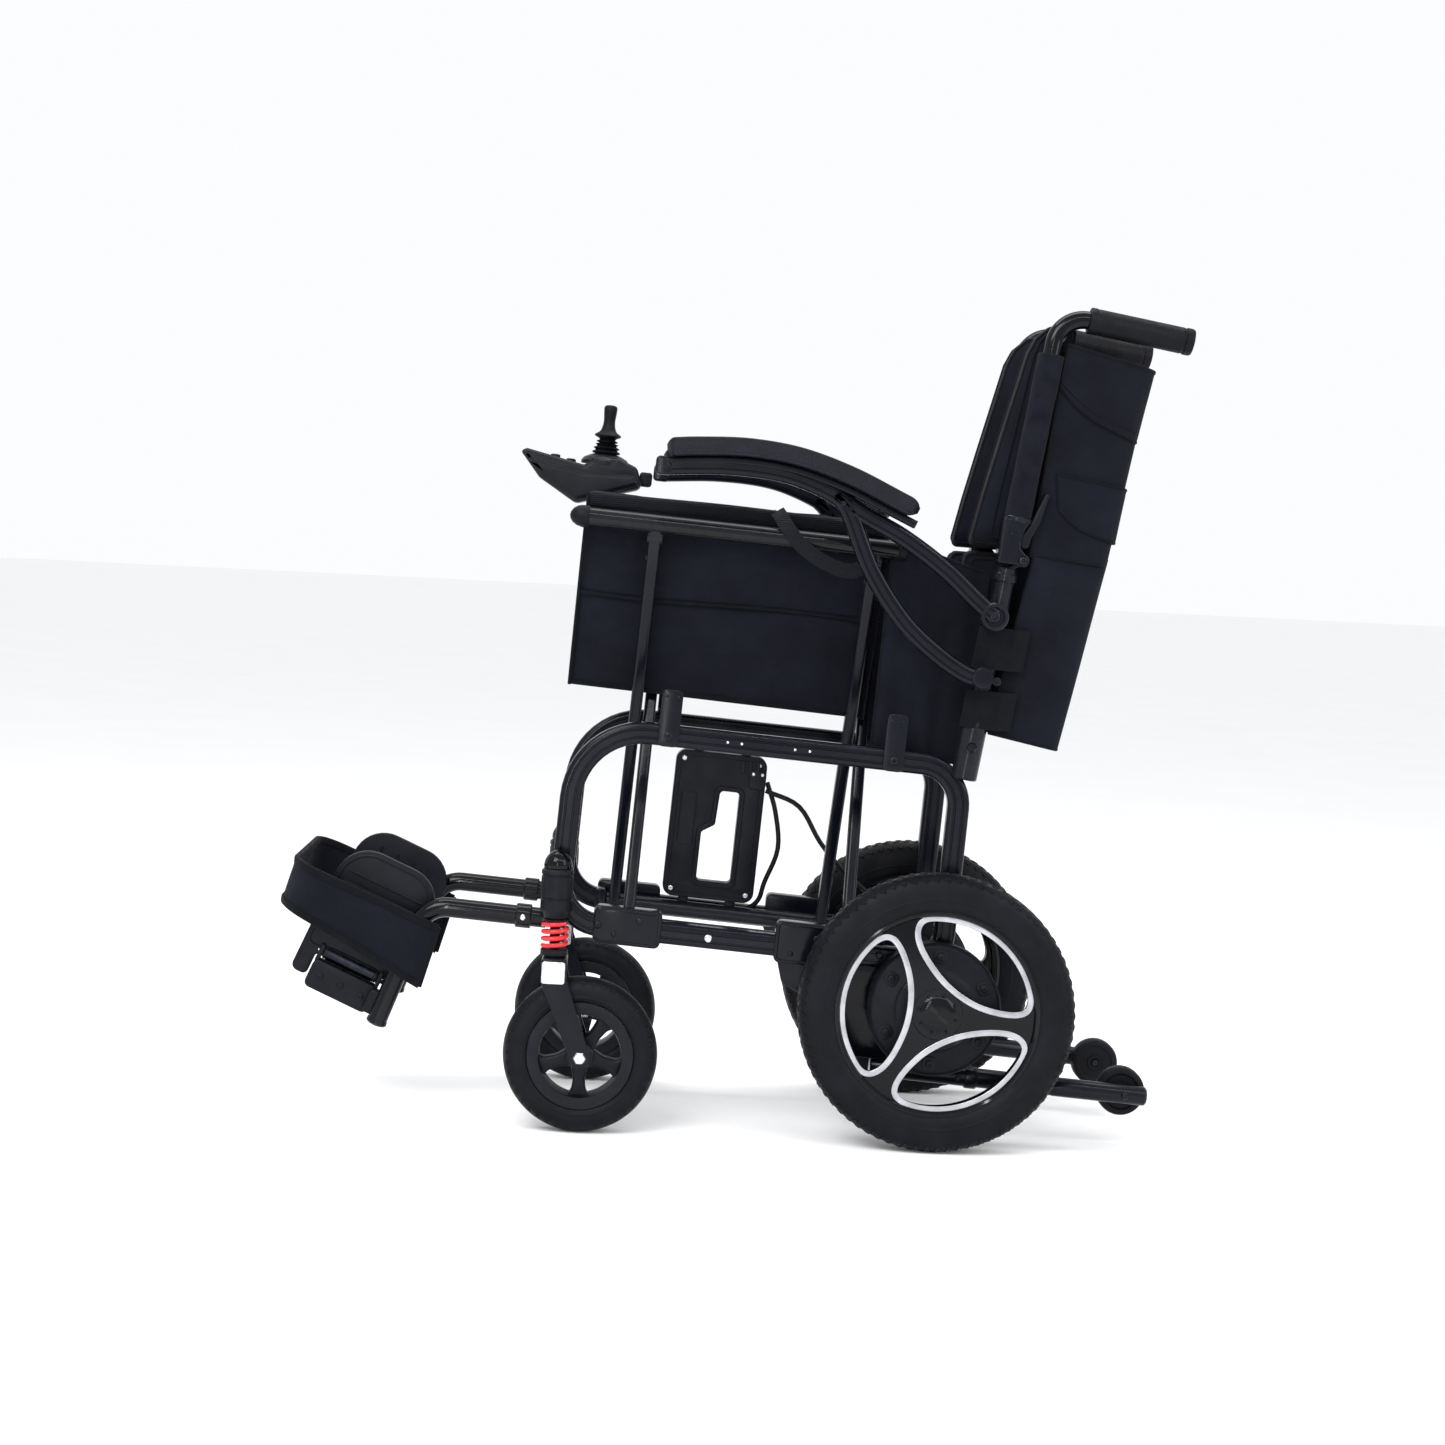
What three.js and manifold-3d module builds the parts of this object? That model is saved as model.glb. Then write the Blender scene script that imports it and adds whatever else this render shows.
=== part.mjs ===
// A side-folding power wheelchair, in its narrow folded state.
//
// World frame: +X forward, +Y to the chair's left, +Z up, millimetres, floor at z = 0.
// Nearly everything is drawn in the chassis frame: its origin is on the rear axle, x runs forward along the
// side rails, y is to the left, z is square to the rails. The chassis is nose-up by PITCH.
// The left side is drawn once. The right side is the same group mirrored across the centre plane.
import * as THREE from "three";
import { mergeVertices } from "three/addons/utils/BufferGeometryUtils.js";
import Module from "manifold-3d";

const wasm = await Module();
wasm.setup();

// ---------- driving dimensions ----------
const PITCH = THREE.MathUtils.degToRad(3.55);
const GAP = 0.3; // between touching pieces
const AXLE_X = -243.6; // rear axle in the world, set so that the whole chair is centred on x = 0

// rear wheels
const WHEEL_R = 157.6;
const WHEEL_Y = 157; // middle plane of the tyre
const TYRE_WIDTH = 50;
const BEAD_R = 116;
const DISC_OUTER_Y = 173;
const HUB_CAP_R = 29;
const WHEEL_SIDES = 32;

// casters, in the world frame, about the upright swivel axis
const SWIVEL_X = AXLE_X + 435.2;
const CASTER_Y = 142;
const CASTER_R = 88;
const CASTER_TRAIL = 35;
const CASTER_WIDTH = 40;
const CASTER_BEAD_R = 60.5;
const CASTER_SIDES = 24;
const BARREL_R = 18.3;
const BARREL_BOTTOM_Z = 248;
const BARREL_TOP_Z = 296;
const SPRING_TOP_Z = 240;
const SPRING_BOTTOM_Z = 206;
const CROWN_TOP_Z = 198;

// side frame, chassis frame
const FRAME_Y = 112;
const TUBE_W = 20; // tube width across the chair
const TUBE_H = 25; // tube height in the side plane
const FRONT_X = 438;
const REAR_X = -6;
const TOP_Z = 274.5;
const BOTTOM_Z = 48.6;
const RAIL_TOP = TOP_Z + TUBE_H / 2;

// scissor brace, chassis frame: lower pivots, seat rails and the fold they share
const PIVOT_Y = 85;
const PIVOT_Z = 50;
const RAIL_Y = 94.7;
const RAIL_Z = 515;
const RAIL_R = 11;
const RAIL_FRONT = 466;
const RAIL_REAR = 85;
const BRACE_FRONT_X = 374;
const BRACE_REAR_X = 119;
const BRACE_STEP = 17; // the two braces pass each other this far apart
const CROSS_Z = PIVOT_Z + ((RAIL_Z - PIVOT_Z) * PIVOT_Y) / (PIVOT_Y + RAIL_Y);
const FOOT_R = 10;
const FOOT_REAR = 72.6;
const FOOT_FRONT = 384.4;

// back canes, chassis frame: one straight line that leans back
const CANE_Y = 118;
const CANE_R = 11;
const CANE_FOOT = [-10.5, 290];
const CANE_LEAN = 44.9 / 470;
const CANE_TOP_Z = 760;
const FOLD_X = -46.4; // pivot of the folding back
const FOLD_Z = 518.4;
const SPLIT_Z = 512;
const SLEEVE_R = 15;
const GRIP_R = 15.5;
const SLING_DEPTH = 112; // how far the back sling bulges behind the canes

// armrests, chassis frame
const ARM_Y = 148;
const PAD_Y = 160;
const ARM_PIVOT = [-18, 451.5];
const ARM_REST = [-12, 381];

// footrests, chassis frame
const FOOT_HINGE = [670, -30];
const FOOT_HINGE_Y = 92;
const FOOT_TILT = THREE.MathUtils.degToRad(19.5);

// anti-tip arms, chassis frame
const TIP_Y = 104;
const TIP_WHEEL_Y = 82;
const TIP_X = -233;
const TIP_Z = -80;
const TIP_WHEEL_R = 28;

// ---------- materials ----------
function paint(color, roughness, metalness) {
  return new THREE.MeshStandardMaterial({ color, roughness, metalness });
}
const satinBlack = paint(0x15181c, 0.35, 0.6);
const glossBlack = paint(0x0c0d10, 0.15, 0.4);
const plastic = paint(0x1a1c20, 0.55, 0);
const padding = paint(0x24272c, 0.7, 0);
const rubber = paint(0x17181a, 0.85, 0);
const fabric = paint(0x12141a, 0.9, 0);
const steel = paint(0xb8bcc2, 0.3, 1);
const springRed = paint(0xc81020, 0.35, 0.2);

// ---------- solids ----------
function solid(geometry) {
  const bare = geometry.clone();
  bare.deleteAttribute("normal");
  bare.deleteAttribute("uv");
  const merged = mergeVertices(bare, 1e-3);
  return new wasm.Manifold(
    new wasm.Mesh({
      numProp: 3,
      vertProperties: merged.attributes.position.array,
      triVerts: new Uint32Array(merged.index.array),
    }),
  );
}

function surface(body) {
  const mesh = body.getMesh();
  const geometry = new THREE.BufferGeometry();
  geometry.setAttribute("position", new THREE.BufferAttribute(mesh.vertProperties, 3));
  geometry.setIndex(new THREE.BufferAttribute(mesh.triVerts, 1));
  geometry.computeVertexNormals();
  return geometry;
}

function join(...geometries) {
  return surface(geometries.map(solid).reduce((whole, next) => whole.add(next)));
}

function cut(geometry, ...tools) {
  return surface(tools.map(solid).reduce((whole, next) => whole.subtract(next), solid(geometry)));
}

function box(x0, x1, y0, y1, z0, z1) {
  const geometry = new THREE.BoxGeometry(x1 - x0, y1 - y0, z1 - z0);
  return geometry.translate((x0 + x1) / 2, (y0 + y1) / 2, (z0 + z1) / 2);
}

// a cylinder along x, y or z between two stations on that axis; at holds the other two coordinates
function rod(axis, radius, from, to, at, sides = 16) {
  const geometry = new THREE.CylinderGeometry(radius, radius, to - from, sides);
  if (axis === "x") geometry.rotateZ(-Math.PI / 2).translate((from + to) / 2, at[0], at[1]);
  if (axis === "y") geometry.translate(at[0], (from + to) / 2, at[1]);
  if (axis === "z") geometry.rotateX(Math.PI / 2).translate(at[0], at[1], (from + to) / 2);
  return geometry;
}

// a body of revolution about the y axis from [radius, y] pairs, given in either order
function turned(profile, sides) {
  const points = profile.map(([r, y]) => new THREE.Vector2(r, y));
  if (THREE.ShapeUtils.area(points) < 0) points.reverse();
  return new THREE.LatheGeometry(points, sides);
}

// the same about the z axis, from [radius, z] pairs
function turnedUpright(profile, sides) {
  return turned(profile, sides).rotateX(Math.PI / 2);
}

// a flat plate in the side plane between two y stations, with an optional rounded edge
function plate(shape, y0, y1, edge = 0, curveSegments = 6) {
  const geometry = new THREE.ExtrudeGeometry(shape, {
    depth: y1 - y0 - 2 * edge,
    bevelEnabled: edge > 0,
    bevelThickness: edge,
    bevelSize: edge,
    bevelOffset: -edge,
    bevelSegments: 1,
    curveSegments,
  });
  return geometry.rotateX(Math.PI / 2).translate(0, y1 - edge, 0);
}

function outline(points) {
  return new THREE.Shape(points.map(([x, z]) => new THREE.Vector2(x, z)));
}

// a rectangle with a radius of its own at each corner, in the order low x low z, high x low z, ...
function roundedRectangle(path, x0, x1, z0, z1, [r0, r1, r2, r3]) {
  path.moveTo(x0 + r0, z0);
  path.lineTo(x1 - r1, z0);
  path.absarc(x1 - r1, z0 + r1, r1, -Math.PI / 2, 0, false);
  path.lineTo(x1, z1 - r2);
  path.absarc(x1 - r2, z1 - r2, r2, 0, Math.PI / 2, false);
  path.lineTo(x0 + r3, z1);
  path.absarc(x0 + r3, z1 - r3, r3, Math.PI / 2, Math.PI, false);
  path.lineTo(x0, z0 + r0);
  path.absarc(x0 + r0, z0 + r0, r0, Math.PI, Math.PI * 1.5, false);
  return path;
}

function roundSection(radius, sides) {
  const points = Array.from({ length: sides }, (_, i) => {
    const turn = (2 * Math.PI * i) / sides;
    return new THREE.Vector2(radius * Math.cos(turn), radius * Math.sin(turn));
  });
  return new THREE.Shape(points);
}

// an eight-sided bar section: width across the chair, height in the plane of the path, moved by offset
function barSection(width, height, chamfer, offset = 0) {
  const w = width / 2;
  const h = height / 2;
  const c = chamfer;
  const corners = [
    [w, -h + c], [w, h - c], [w - c, h], [-w + c, h],
    [-w, h - c], [-w, -h + c], [-w + c, -h], [w - c, -h],
  ];
  return new THREE.Shape(corners.map(([x, y]) => new THREE.Vector2(x, y + offset)));
}

// a path of straight runs with rounded corners through the given points
function bentPath(points, bend) {
  const corners = points.map((p) => new THREE.Vector3(...p));
  const path = new THREE.CurvePath();
  let from = corners[0];
  corners.slice(1, -1).forEach((corner, i) => {
    const before = corner.clone().add(corners[i].clone().sub(corner).setLength(bend));
    const after = corner.clone().add(corners[i + 2].clone().sub(corner).setLength(bend));
    path.add(new THREE.LineCurve3(from, before));
    path.add(new THREE.QuadraticBezierCurve3(before, corner, after));
    from = after;
  });
  path.add(new THREE.LineCurve3(from, corners[corners.length - 1]));
  return path;
}

function sweep(path, section, steps) {
  return new THREE.ExtrudeGeometry(section, { extrudePath: path, steps, bevelEnabled: false });
}

// a smooth curve in the side plane y from [x, z] pairs
function sideCurve(points, y) {
  return new THREE.CatmullRomCurve3(points.map(([x, z]) => new THREE.Vector3(x, y, z)));
}

function caneX(z) {
  return CANE_FOOT[0] - CANE_LEAN * (z - CANE_FOOT[1]);
}

// a cylinder along the leaning cane line between two heights
function caneRod(radius, z0, z1, sides = 14) {
  const length = (z1 - z0) * Math.hypot(1, CANE_LEAN);
  const geometry = new THREE.CylinderGeometry(radius, radius, length, sides);
  geometry.rotateX(Math.PI / 2).rotateY(-Math.atan(CANE_LEAN));
  return geometry.translate((caneX(z0) + caneX(z1)) / 2, CANE_Y, (z0 + z1) / 2);
}

// ---------- side frame ----------
function axlePlate() {
  const shape = new THREE.Shape();
  shape.moveTo(-14, 45);
  shape.lineTo(186, 45);
  shape.quadraticCurveTo(180, 10, 152, 0);
  shape.quadraticCurveTo(140, -30, 100, -68.5);
  shape.lineTo(-24, -68.5);
  shape.lineTo(-46, -30);
  shape.lineTo(-46, 20);
  return plate(shape, 107, 117);
}

// a clip screwed to the outside of the top rail, with a pad on which the seat rail lands
function saddle(x) {
  const wall = box(x - 12, x + 12, 121, 125, 262, 328);
  const pad = box(x - 12, x + 12, 103, 122, RAIL_TOP - 1, RAIL_TOP + 3.5);
  const screw = rod("y", 5, 124, 127.5, [x, TOP_Z], 6);
  return join(wall, pad, screw);
}

// the lug that carries one end of a brace's foot tube, and the stiffening plates around the rail
function footLug(x0, x1) {
  return box(x0, x1, 71, 103, 35, 66);
}

function sideFrame() {
  const half = TUBE_H / 2;
  const rails = [REAR_X, FRONT_X, BOTTOM_Z, TOP_Z];
  const [x0, x1, z0, z1] = rails;
  const outer = roundedRectangle(
    new THREE.Shape(), x0 - half, x1 + half, z0 - half, z1 + half, [34, 48, 82, 47],
  );
  const inner = roundedRectangle(
    new THREE.Path(), x0 + half, x1 - half, z0 + half, z1 - half, [10, 24, 57, 22],
  );
  outer.holes.push(inner);
  const loop = plate(outer, FRAME_Y - TUBE_W / 2, FRAME_Y + TUBE_W / 2, 4, 4);
  return join(
    loop,
    axlePlate(),
    saddle(334),
    saddle(74.5),
    footLug(FOOT_FRONT + GAP, 397),
    footLug(60, FOOT_REAR - GAP),
    box(318, 396, 103, 124, 30, 73),
    box(118, 187, 103, 124, 30, 78),
    caneRod(SLEEVE_R, 262, 330),
  );
}

// ---------- rear wheels ----------
function rearTyre() {
  const w = TYRE_WIDTH / 2;
  const profile = [
    [BEAD_R, -w + 4], [128, -w], [146, -w + 3], [WHEEL_R, -w + 16],
    [WHEEL_R, w - 16], [146, w - 3], [128, w], [BEAD_R, w - 4], [BEAD_R, -w + 4],
  ];
  return turned(profile, WHEEL_SIDES).translate(0, WHEEL_Y, 0);
}

// one leaf-shaped window of the rim, square to the axle; three of them leave the three spokes
function leafWindow() {
  const leaf = new THREE.Shape();
  leaf.moveTo(60, 83);
  leaf.absarc(0, 0, 104, THREE.MathUtils.degToRad(50), THREE.MathUtils.degToRad(-29), true);
  leaf.quadraticCurveTo(82, -70, 62, -56);
  leaf.quadraticCurveTo(33, -25, 33, -2);
  leaf.quadraticCurveTo(31, 40, 46, 77);
  leaf.quadraticCurveTo(52, 88, 60, 83);
  return leaf;
}

function rearRim() {
  const disc = turned(
    [
      [0, 160], [22, 160], [22, 166], [111, 166], [111, 137], [BEAD_R - GAP, 137],
      [BEAD_R - GAP, 177], [111, 177], [108, DISC_OUTER_Y], [HUB_CAP_R, DISC_OUTER_Y],
      [HUB_CAP_R, 180], [0, 180],
    ],
    WHEEL_SIDES,
  );
  const windows = [0, 1, 2].map((i) =>
    plate(leafWindow(), 160, 176, 0, 5).rotateY(THREE.MathUtils.degToRad(-120 * i)),
  );
  return cut(disc, ...windows);
}

function motor() {
  return turned(
    [
      [0, 117 + GAP], [33, 117 + GAP], [33, 122.6], [72, 122.6], [76, 126], [76, 146],
      [70, 150], [46, 150], [46, 158], [0, 158],
    ],
    28,
  );
}

// ---------- casters, drawn in the world frame with the swivel axis at x = 0, y = 0 ----------
function casterBarrel() {
  const barrel = turnedUpright(
    [
      [0, BARREL_BOTTOM_Z - 8], [14, BARREL_BOTTOM_Z - 8], [16, BARREL_BOTTOM_Z], [BARREL_R, BARREL_BOTTOM_Z + 1],
      [BARREL_R, BARREL_TOP_Z], [15, BARREL_TOP_Z + 1], [15, 304], [12, 312], [6, 317], [0, 318.5],
    ],
    20,
  );
  const boss = box(-15, 15, FRAME_Y + TUBE_W / 2 + GAP - CASTER_Y, -8, 254, 290);
  return join(barrel, boss);
}

// the coil's outer shape, with the stem that runs through it
function casterSpring() {
  const top = SPRING_TOP_Z - GAP;
  const bottom = CROWN_TOP_Z + GAP;
  return turnedUpright(
    [
      [0, bottom], [17, bottom], [17, SPRING_BOTTOM_Z], [16.3, SPRING_BOTTOM_Z + 1],
      [16.3, top], [0, top],
    ],
    16,
  );
}

function casterFork() {
  const leg = new THREE.Shape();
  leg.moveTo(-13, CROWN_TOP_Z - 4);
  leg.lineTo(-CASTER_TRAIL - 12, CASTER_R);
  leg.absarc(-CASTER_TRAIL, CASTER_R, 12.5, Math.PI, Math.PI * 2, false);
  leg.lineTo(13, CROWN_TOP_Z - 26);
  leg.lineTo(13, CROWN_TOP_Z - 4);
  const crown = box(-16, 13, -28, 28, CROWN_TOP_Z - 10, CROWN_TOP_Z);
  const axle = rod("y", 5, -31, 31, [-CASTER_TRAIL, CASTER_R], 12);
  return join(crown, plate(leg, 23, 28), plate(leg, -28, -23), axle);
}

function casterTyre() {
  const w = CASTER_WIDTH / 2;
  const profile = [
    [CASTER_BEAD_R, -w + 4], [70, -w], [81, -w + 4], [CASTER_R, -w + 13],
    [CASTER_R, w - 13], [81, w - 4], [70, w], [CASTER_BEAD_R, w - 4], [CASTER_BEAD_R, -w + 4],
  ];
  return turned(profile, CASTER_SIDES).translate(-CASTER_TRAIL, 0, CASTER_R);
}

function casterRim() {
  const ring = turned(
    [[5 + GAP, -19], [15, -19], [15, -9], [47, -9], [47, -17], [CASTER_BEAD_R - GAP, -17],
      [CASTER_BEAD_R - GAP, 17], [47, 17], [47, 9], [15, 9], [15, 19], [5 + GAP, 19], [5 + GAP, -19]],
    CASTER_SIDES,
  );
  const window = new THREE.Shape();
  window.absarc(0, 0, 46.5, -0.38, 0.38, false);
  window.lineTo(17, 2.5);
  window.lineTo(17, -2.5);
  const windows = [0, 1, 2, 3, 4].map((i) =>
    plate(window, -12, 12, 0, 3).rotateY((2 * Math.PI * (i + 0.25)) / 5),
  );
  return cut(ring, ...windows).translate(-CASTER_TRAIL, 0, CASTER_R);
}

// ---------- anti-tip arms ----------
function antitipTube() {
  const tube = rod("x", 11, TIP_X - 26, 62, [TIP_Y, TIP_Z], 14);
  const axle = rod("y", 4, TIP_WHEEL_Y - 12, TIP_Y, [TIP_X, TIP_Z], 10);
  return join(tube, axle);
}

function antitipWheel() {
  return turned(
    [[4 + GAP, -10], [24, -10], [TIP_WHEEL_R, -7], [TIP_WHEEL_R, 7], [24, 10], [4 + GAP, 10], [4 + GAP, -10]],
    24,
  ).translate(TIP_X, TIP_WHEEL_Y, TIP_Z);
}

// ---------- footrests: local p runs up along the hinge, q square to it in the side plane ----------
function onFootHinge(geometry) {
  return geometry.rotateY(-FOOT_TILT).translate(FOOT_HINGE[0], 0, FOOT_HINGE[1]);
}

function footrestTube() {
  const front = FRONT_X + TUBE_H / 2 + GAP;
  const path = bentPath([[front, FRAME_Y, 50], [590, FRAME_Y, 50], [632, FRAME_Y, -90]], 36);
  const tube = sweep(path, roundSection(11.3, 10), 18);
  const collar = rod("x", 14, 468, 486, [FRAME_Y, 50]);
  const web = onFootHinge(box(-60, -34, 96, 112, -40, -12));
  const block = onFootHinge(box(-40, 40, 84, 104, -44, -10));
  const lugs = [-40, 35].map((p) => onFootHinge(box(p, p + 5, 84, 101, -12, 8)));
  return join(tube, collar, web, block, ...lugs);
}

function footplate() {
  const shape = new THREE.Shape();
  shape.moveTo(-60, 2);
  shape.lineTo(-42, -6);
  shape.lineTo(42, -6);
  shape.lineTo(42, -34);
  shape.lineTo(62, -34);
  shape.lineTo(62, 90);
  shape.quadraticCurveTo(62, 130, 22, 130);
  shape.lineTo(-22, 130);
  shape.quadraticCurveTo(-60, 130, -62, 90);
  const board = plate(shape, FOOT_HINGE_Y - 4, FOOT_HINGE_Y + 4, 0, 8);
  const roll = rod("x", 8.5, -34 + GAP, 35 - GAP, [FOOT_HINGE_Y, 0], 14);
  const clear = [-42, 34].map((p) => box(p, p + 8, 70, 110, -20, 14));
  return onFootHinge(cut(join(board, roll), ...clear));
}

function calfStrap() {
  const panel = outline([[572, 28], [587, -42], [757, 42], [741, 102]]);
  const front = outline([[738, 100], [754, 40], [757, 42], [741, 102]]);
  return join(plate(panel, 124, 127), plate(front, GAP, 127));
}

// ---------- back canes ----------
function lowerCane() {
  const tube = caneRod(CANE_R, 331 + GAP, SPLIT_Z - 3.5);
  const ear = rod("y", 8, 111, 125, [FOLD_X, FOLD_Z]);
  const web = plate(outline([[-50, 502], [-30, 498], [-30, 508], [-41, 511.5], [-50, 511.5]]), 111, 125);
  const armBoss = rod("y", 9, CANE_Y, ARM_Y - 10 - GAP, ARM_PIVOT);
  const stop = rod("y", 5, CANE_Y, ARM_Y + 6, [ARM_REST[0] - 19, ARM_REST[1] - 3], 10);
  return join(tube, ear, web, armBoss, stop);
}

function foldBracket() {
  const shape = new THREE.Shape();
  shape.moveTo(-17, SPLIT_Z + 1);
  shape.lineTo(-36, SPLIT_Z + 1);
  shape.absarc(FOLD_X, FOLD_Z, 8, -Math.PI / 2, -Math.PI * 1.25, true);
  shape.quadraticCurveTo(-42, 540, -51, 566);
  shape.lineTo(-20, 566);
  return plate(shape, CANE_Y - 14, CANE_Y + 14);
}

function upperCane() {
  const top = caneX(CANE_TOP_Z);
  const path = bentPath(
    [[caneX(530), CANE_Y, 530], [top - 4.4, CANE_Y, 804.7], [-206, CANE_Y, 789.7]],
    34,
  );
  const tube = sweep(path, roundSection(CANE_R - 0.5, 10), 24);
  const whole = join(tube, caneRod(SLEEVE_R, 566, 748, 18), foldBracket());
  const earSlot = box(-70, -37.6, 110.5, 125.5, 500, 530);
  const leverSlot = box(-70, -40.8, 110.5, 125.5, 529, 551);
  return cut(whole, earSlot, leverSlot);
}

function grip() {
  const lean = Math.atan2(804.7 - 789.7, 206 - 59.8);
  const sleeve = rod("x", GRIP_R, -122, 0, [0, 0], 18);
  const bore = rod("x", CANE_R - 0.5 + GAP, -116, 10, [0, 0], 18);
  const geometry = cut(sleeve, bore);
  return geometry.rotateY(-lean).translate(-93.5, CANE_Y, 801.25);
}

function releaseLever() {
  const shape = outline([[-46, 535], [-42, 541], [-54, 562], [-67, 599], [-71, 598], [-63, 566], [-52, 534]]);
  return plate(shape, CANE_Y - 5, CANE_Y + 5);
}

// ---------- armrests ----------
const PAD_LINE = [[372, 602], [336, 607], [280, 611.3], [222, 607.3], [162, 592], [104, 569.5], [82, 561]];

function armrestFrame() {
  const spine = sideCurve(
    [[372, 581], [300, 588.5], [235, 586.5], [182, 571.5], [143, 551], [95, 530], [45, 500], [6, 469.5], ARM_PIVOT],
    ARM_Y,
  );
  const branch = sideCurve(
    [[176, 570], [158, 551], [126, 488], [85, 436], [45, 404], [8, 383.5], ARM_REST],
    ARM_Y,
  );
  const bar = barSection(20, 19, 5);
  return join(
    sweep(spine, bar, 18),
    sweep(branch, bar, 12),
    sweep(sideCurve(PAD_LINE, ARM_Y), barSection(20, 9, 2, -15.4), 12),
    rod("y", 16, ARM_Y - 10, ARM_Y + 10, ARM_PIVOT, 20),
    rod("y", 12.5, ARM_Y - 10, ARM_Y + 10, ARM_REST, 20),
  );
}

function armPad() {
  return sweep(sideCurve(PAD_LINE, PAD_Y), barSection(44, 21, 5), 14);
}

// ---------- back sling: side panel behind the cane, and half of the rear panel ----------
function slingRear(z) {
  return caneX(z) - SLING_DEPTH + (z < 560 ? (560 - z) * 0.06 : 0);
}

function slingHalf(frontLow, frontHigh, z0, z1) {
  const side = outline([frontLow, [slingRear(z0), z0 - 9], [slingRear(z1), z1 - 20], frontHigh]);
  const rear = outline([
    [slingRear(z0), z0 - 9], [slingRear(z0) + 4, z0 - 9],
    [slingRear(z1) + 4, z1 - 20], [slingRear(z1), z1 - 20],
  ]);
  return join(plate(side, CANE_Y - 2, CANE_Y + 2), plate(rear, GAP, CANE_Y + 2));
}

function backUpper() {
  return slingHalf([-76, 536], [-77, 766], 545, 766);
}

function backLower() {
  return slingHalf([caneX(316) - 16, 316], [-64, 515], 316, 544.5);
}

// ---------- scissor braces and seat ----------
// the brace that stands on the right foot and carries the left seat rail, moved back by step
function brace(step) {
  const reach = Math.hypot(PIVOT_Y + RAIL_Y, RAIL_Z - PIVOT_Z);
  const lean = Math.atan2(PIVOT_Y + RAIL_Y, RAIL_Z - PIVOT_Z);
  const toCross = Math.hypot(PIVOT_Y, CROSS_Z - PIVOT_Z);
  const bars = [BRACE_FRONT_X, BRACE_REAR_X].map((x) => {
    const bar = box(x - 7, x + 7, -9, 9, 0, reach - RAIL_R - GAP);
    return cut(bar, rod("x", 4 + GAP, x - 9, x + 9, [0, toCross], 12)).translate(-step, 0, 0);
  });
  const foot = rod("x", FOOT_R, FOOT_REAR, FOOT_FRONT, [0, 0], 14);
  return join(...bars, foot).rotateX(-lean).translate(0, -PIVOT_Y, PIVOT_Z);
}

function crossBolt(x) {
  const low = x - BRACE_STEP - 7;
  const high = x + 7;
  return turned(
    [[0, low - 5], [7, low - 5], [7, low - GAP], [4, low - GAP], [4, high + GAP], [7, high + GAP], [7, high + 5],
      [0, high + 5]],
    12,
  ).rotateZ(-Math.PI / 2).translate(0, 0, CROSS_Z);
}

function seatRail() {
  const tube = rod("x", RAIL_R, RAIL_REAR, RAIL_FRONT, [RAIL_Y, RAIL_Z], 16);
  const cap = new THREE.SphereGeometry(RAIL_R, 14, 8).translate(RAIL_FRONT, RAIL_Y, RAIL_Z);
  return join(tube, cap);
}

function seatPanel() {
  const section = outline([[GAP, 313], [3, 310], [76.5, 500], [76.5, 545], [62, 547], [GAP, 344]]);
  const geometry = new THREE.ExtrudeGeometry(section, { depth: 356, bevelEnabled: false });
  return geometry.rotateX(Math.PI / 2).rotateZ(Math.PI / 2).translate(102, 0, 0);
}

// ---------- controller, battery and leads, drawn on the left and mirrored to the right side ----------
const PANEL_TILT = Math.atan2(593 - 580, 543 - 470);

function onPanel(geometry, x) {
  const z = 580 + (x - 470) * Math.tan(PANEL_TILT);
  return geometry.rotateY(-PANEL_TILT).translate(x, 150, z);
}

function controllerHousing() {
  const shape = new THREE.Shape();
  shape.moveTo(548, 588);
  shape.lineTo(543, 593);
  shape.lineTo(470, 580);
  shape.lineTo(463, 587);
  shape.lineTo(461, 593);
  shape.lineTo(427, 593);
  shape.quadraticCurveTo(404, 582, 394, 559);
  shape.lineTo(436, 545);
  shape.lineTo(476, 532);
  shape.lineTo(524, 559);
  const body = plate(shape, 119, 181);
  const pockets = [488, 508].map((x) => onPanel(box(-6.5, 6.5, -10.5, 10.5, -3.2, 6), x));
  return cut(body, ...pockets);
}

function controllerButton(x) {
  return onPanel(box(-6, 6, -10, 10, -1, 3), x);
}

function joystickBoot() {
  return turnedUpright([[0, 598], [11, 598], [12, 601], [5.5, 606], [0, 606]], 16).translate(445, 150, 0);
}

function joystickLever() {
  return turnedUpright(
    [[0, 611], [5, 611], [17, 621], [8, 630], [6, 636], [6.8, 654], [5, 659], [0, 659.5]],
    16,
  ).translate(445, 150, 0);
}

function batteryBox() {
  const shape = roundedRectangle(new THREE.Shape(), 205, 317, 66, 246, [8, 8, 8, 8]);
  const slot = new THREE.Path();
  slot.moveTo(235, 88);
  slot.lineTo(235, 200);
  slot.lineTo(259, 200);
  slot.lineTo(261, 158);
  slot.lineTo(277, 148);
  slot.lineTo(277, 88);
  shape.holes.push(slot);
  return plate(shape, 73, FRAME_Y - TUBE_W / 2 - 1.5, 3);
}

function lead(points, y) {
  return sweep(sideCurve(points, y), roundSection(3, 8), 20);
}

// ---------- assembly ----------
function named(name, geometry, material) {
  const mesh = new THREE.Mesh(geometry, material);
  mesh.name = name;
  return mesh;
}

function chassisGroup() {
  const group = new THREE.Group();
  group.position.set(AXLE_X, 0, WHEEL_R);
  group.rotation.y = -PITCH;
  return group;
}

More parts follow.
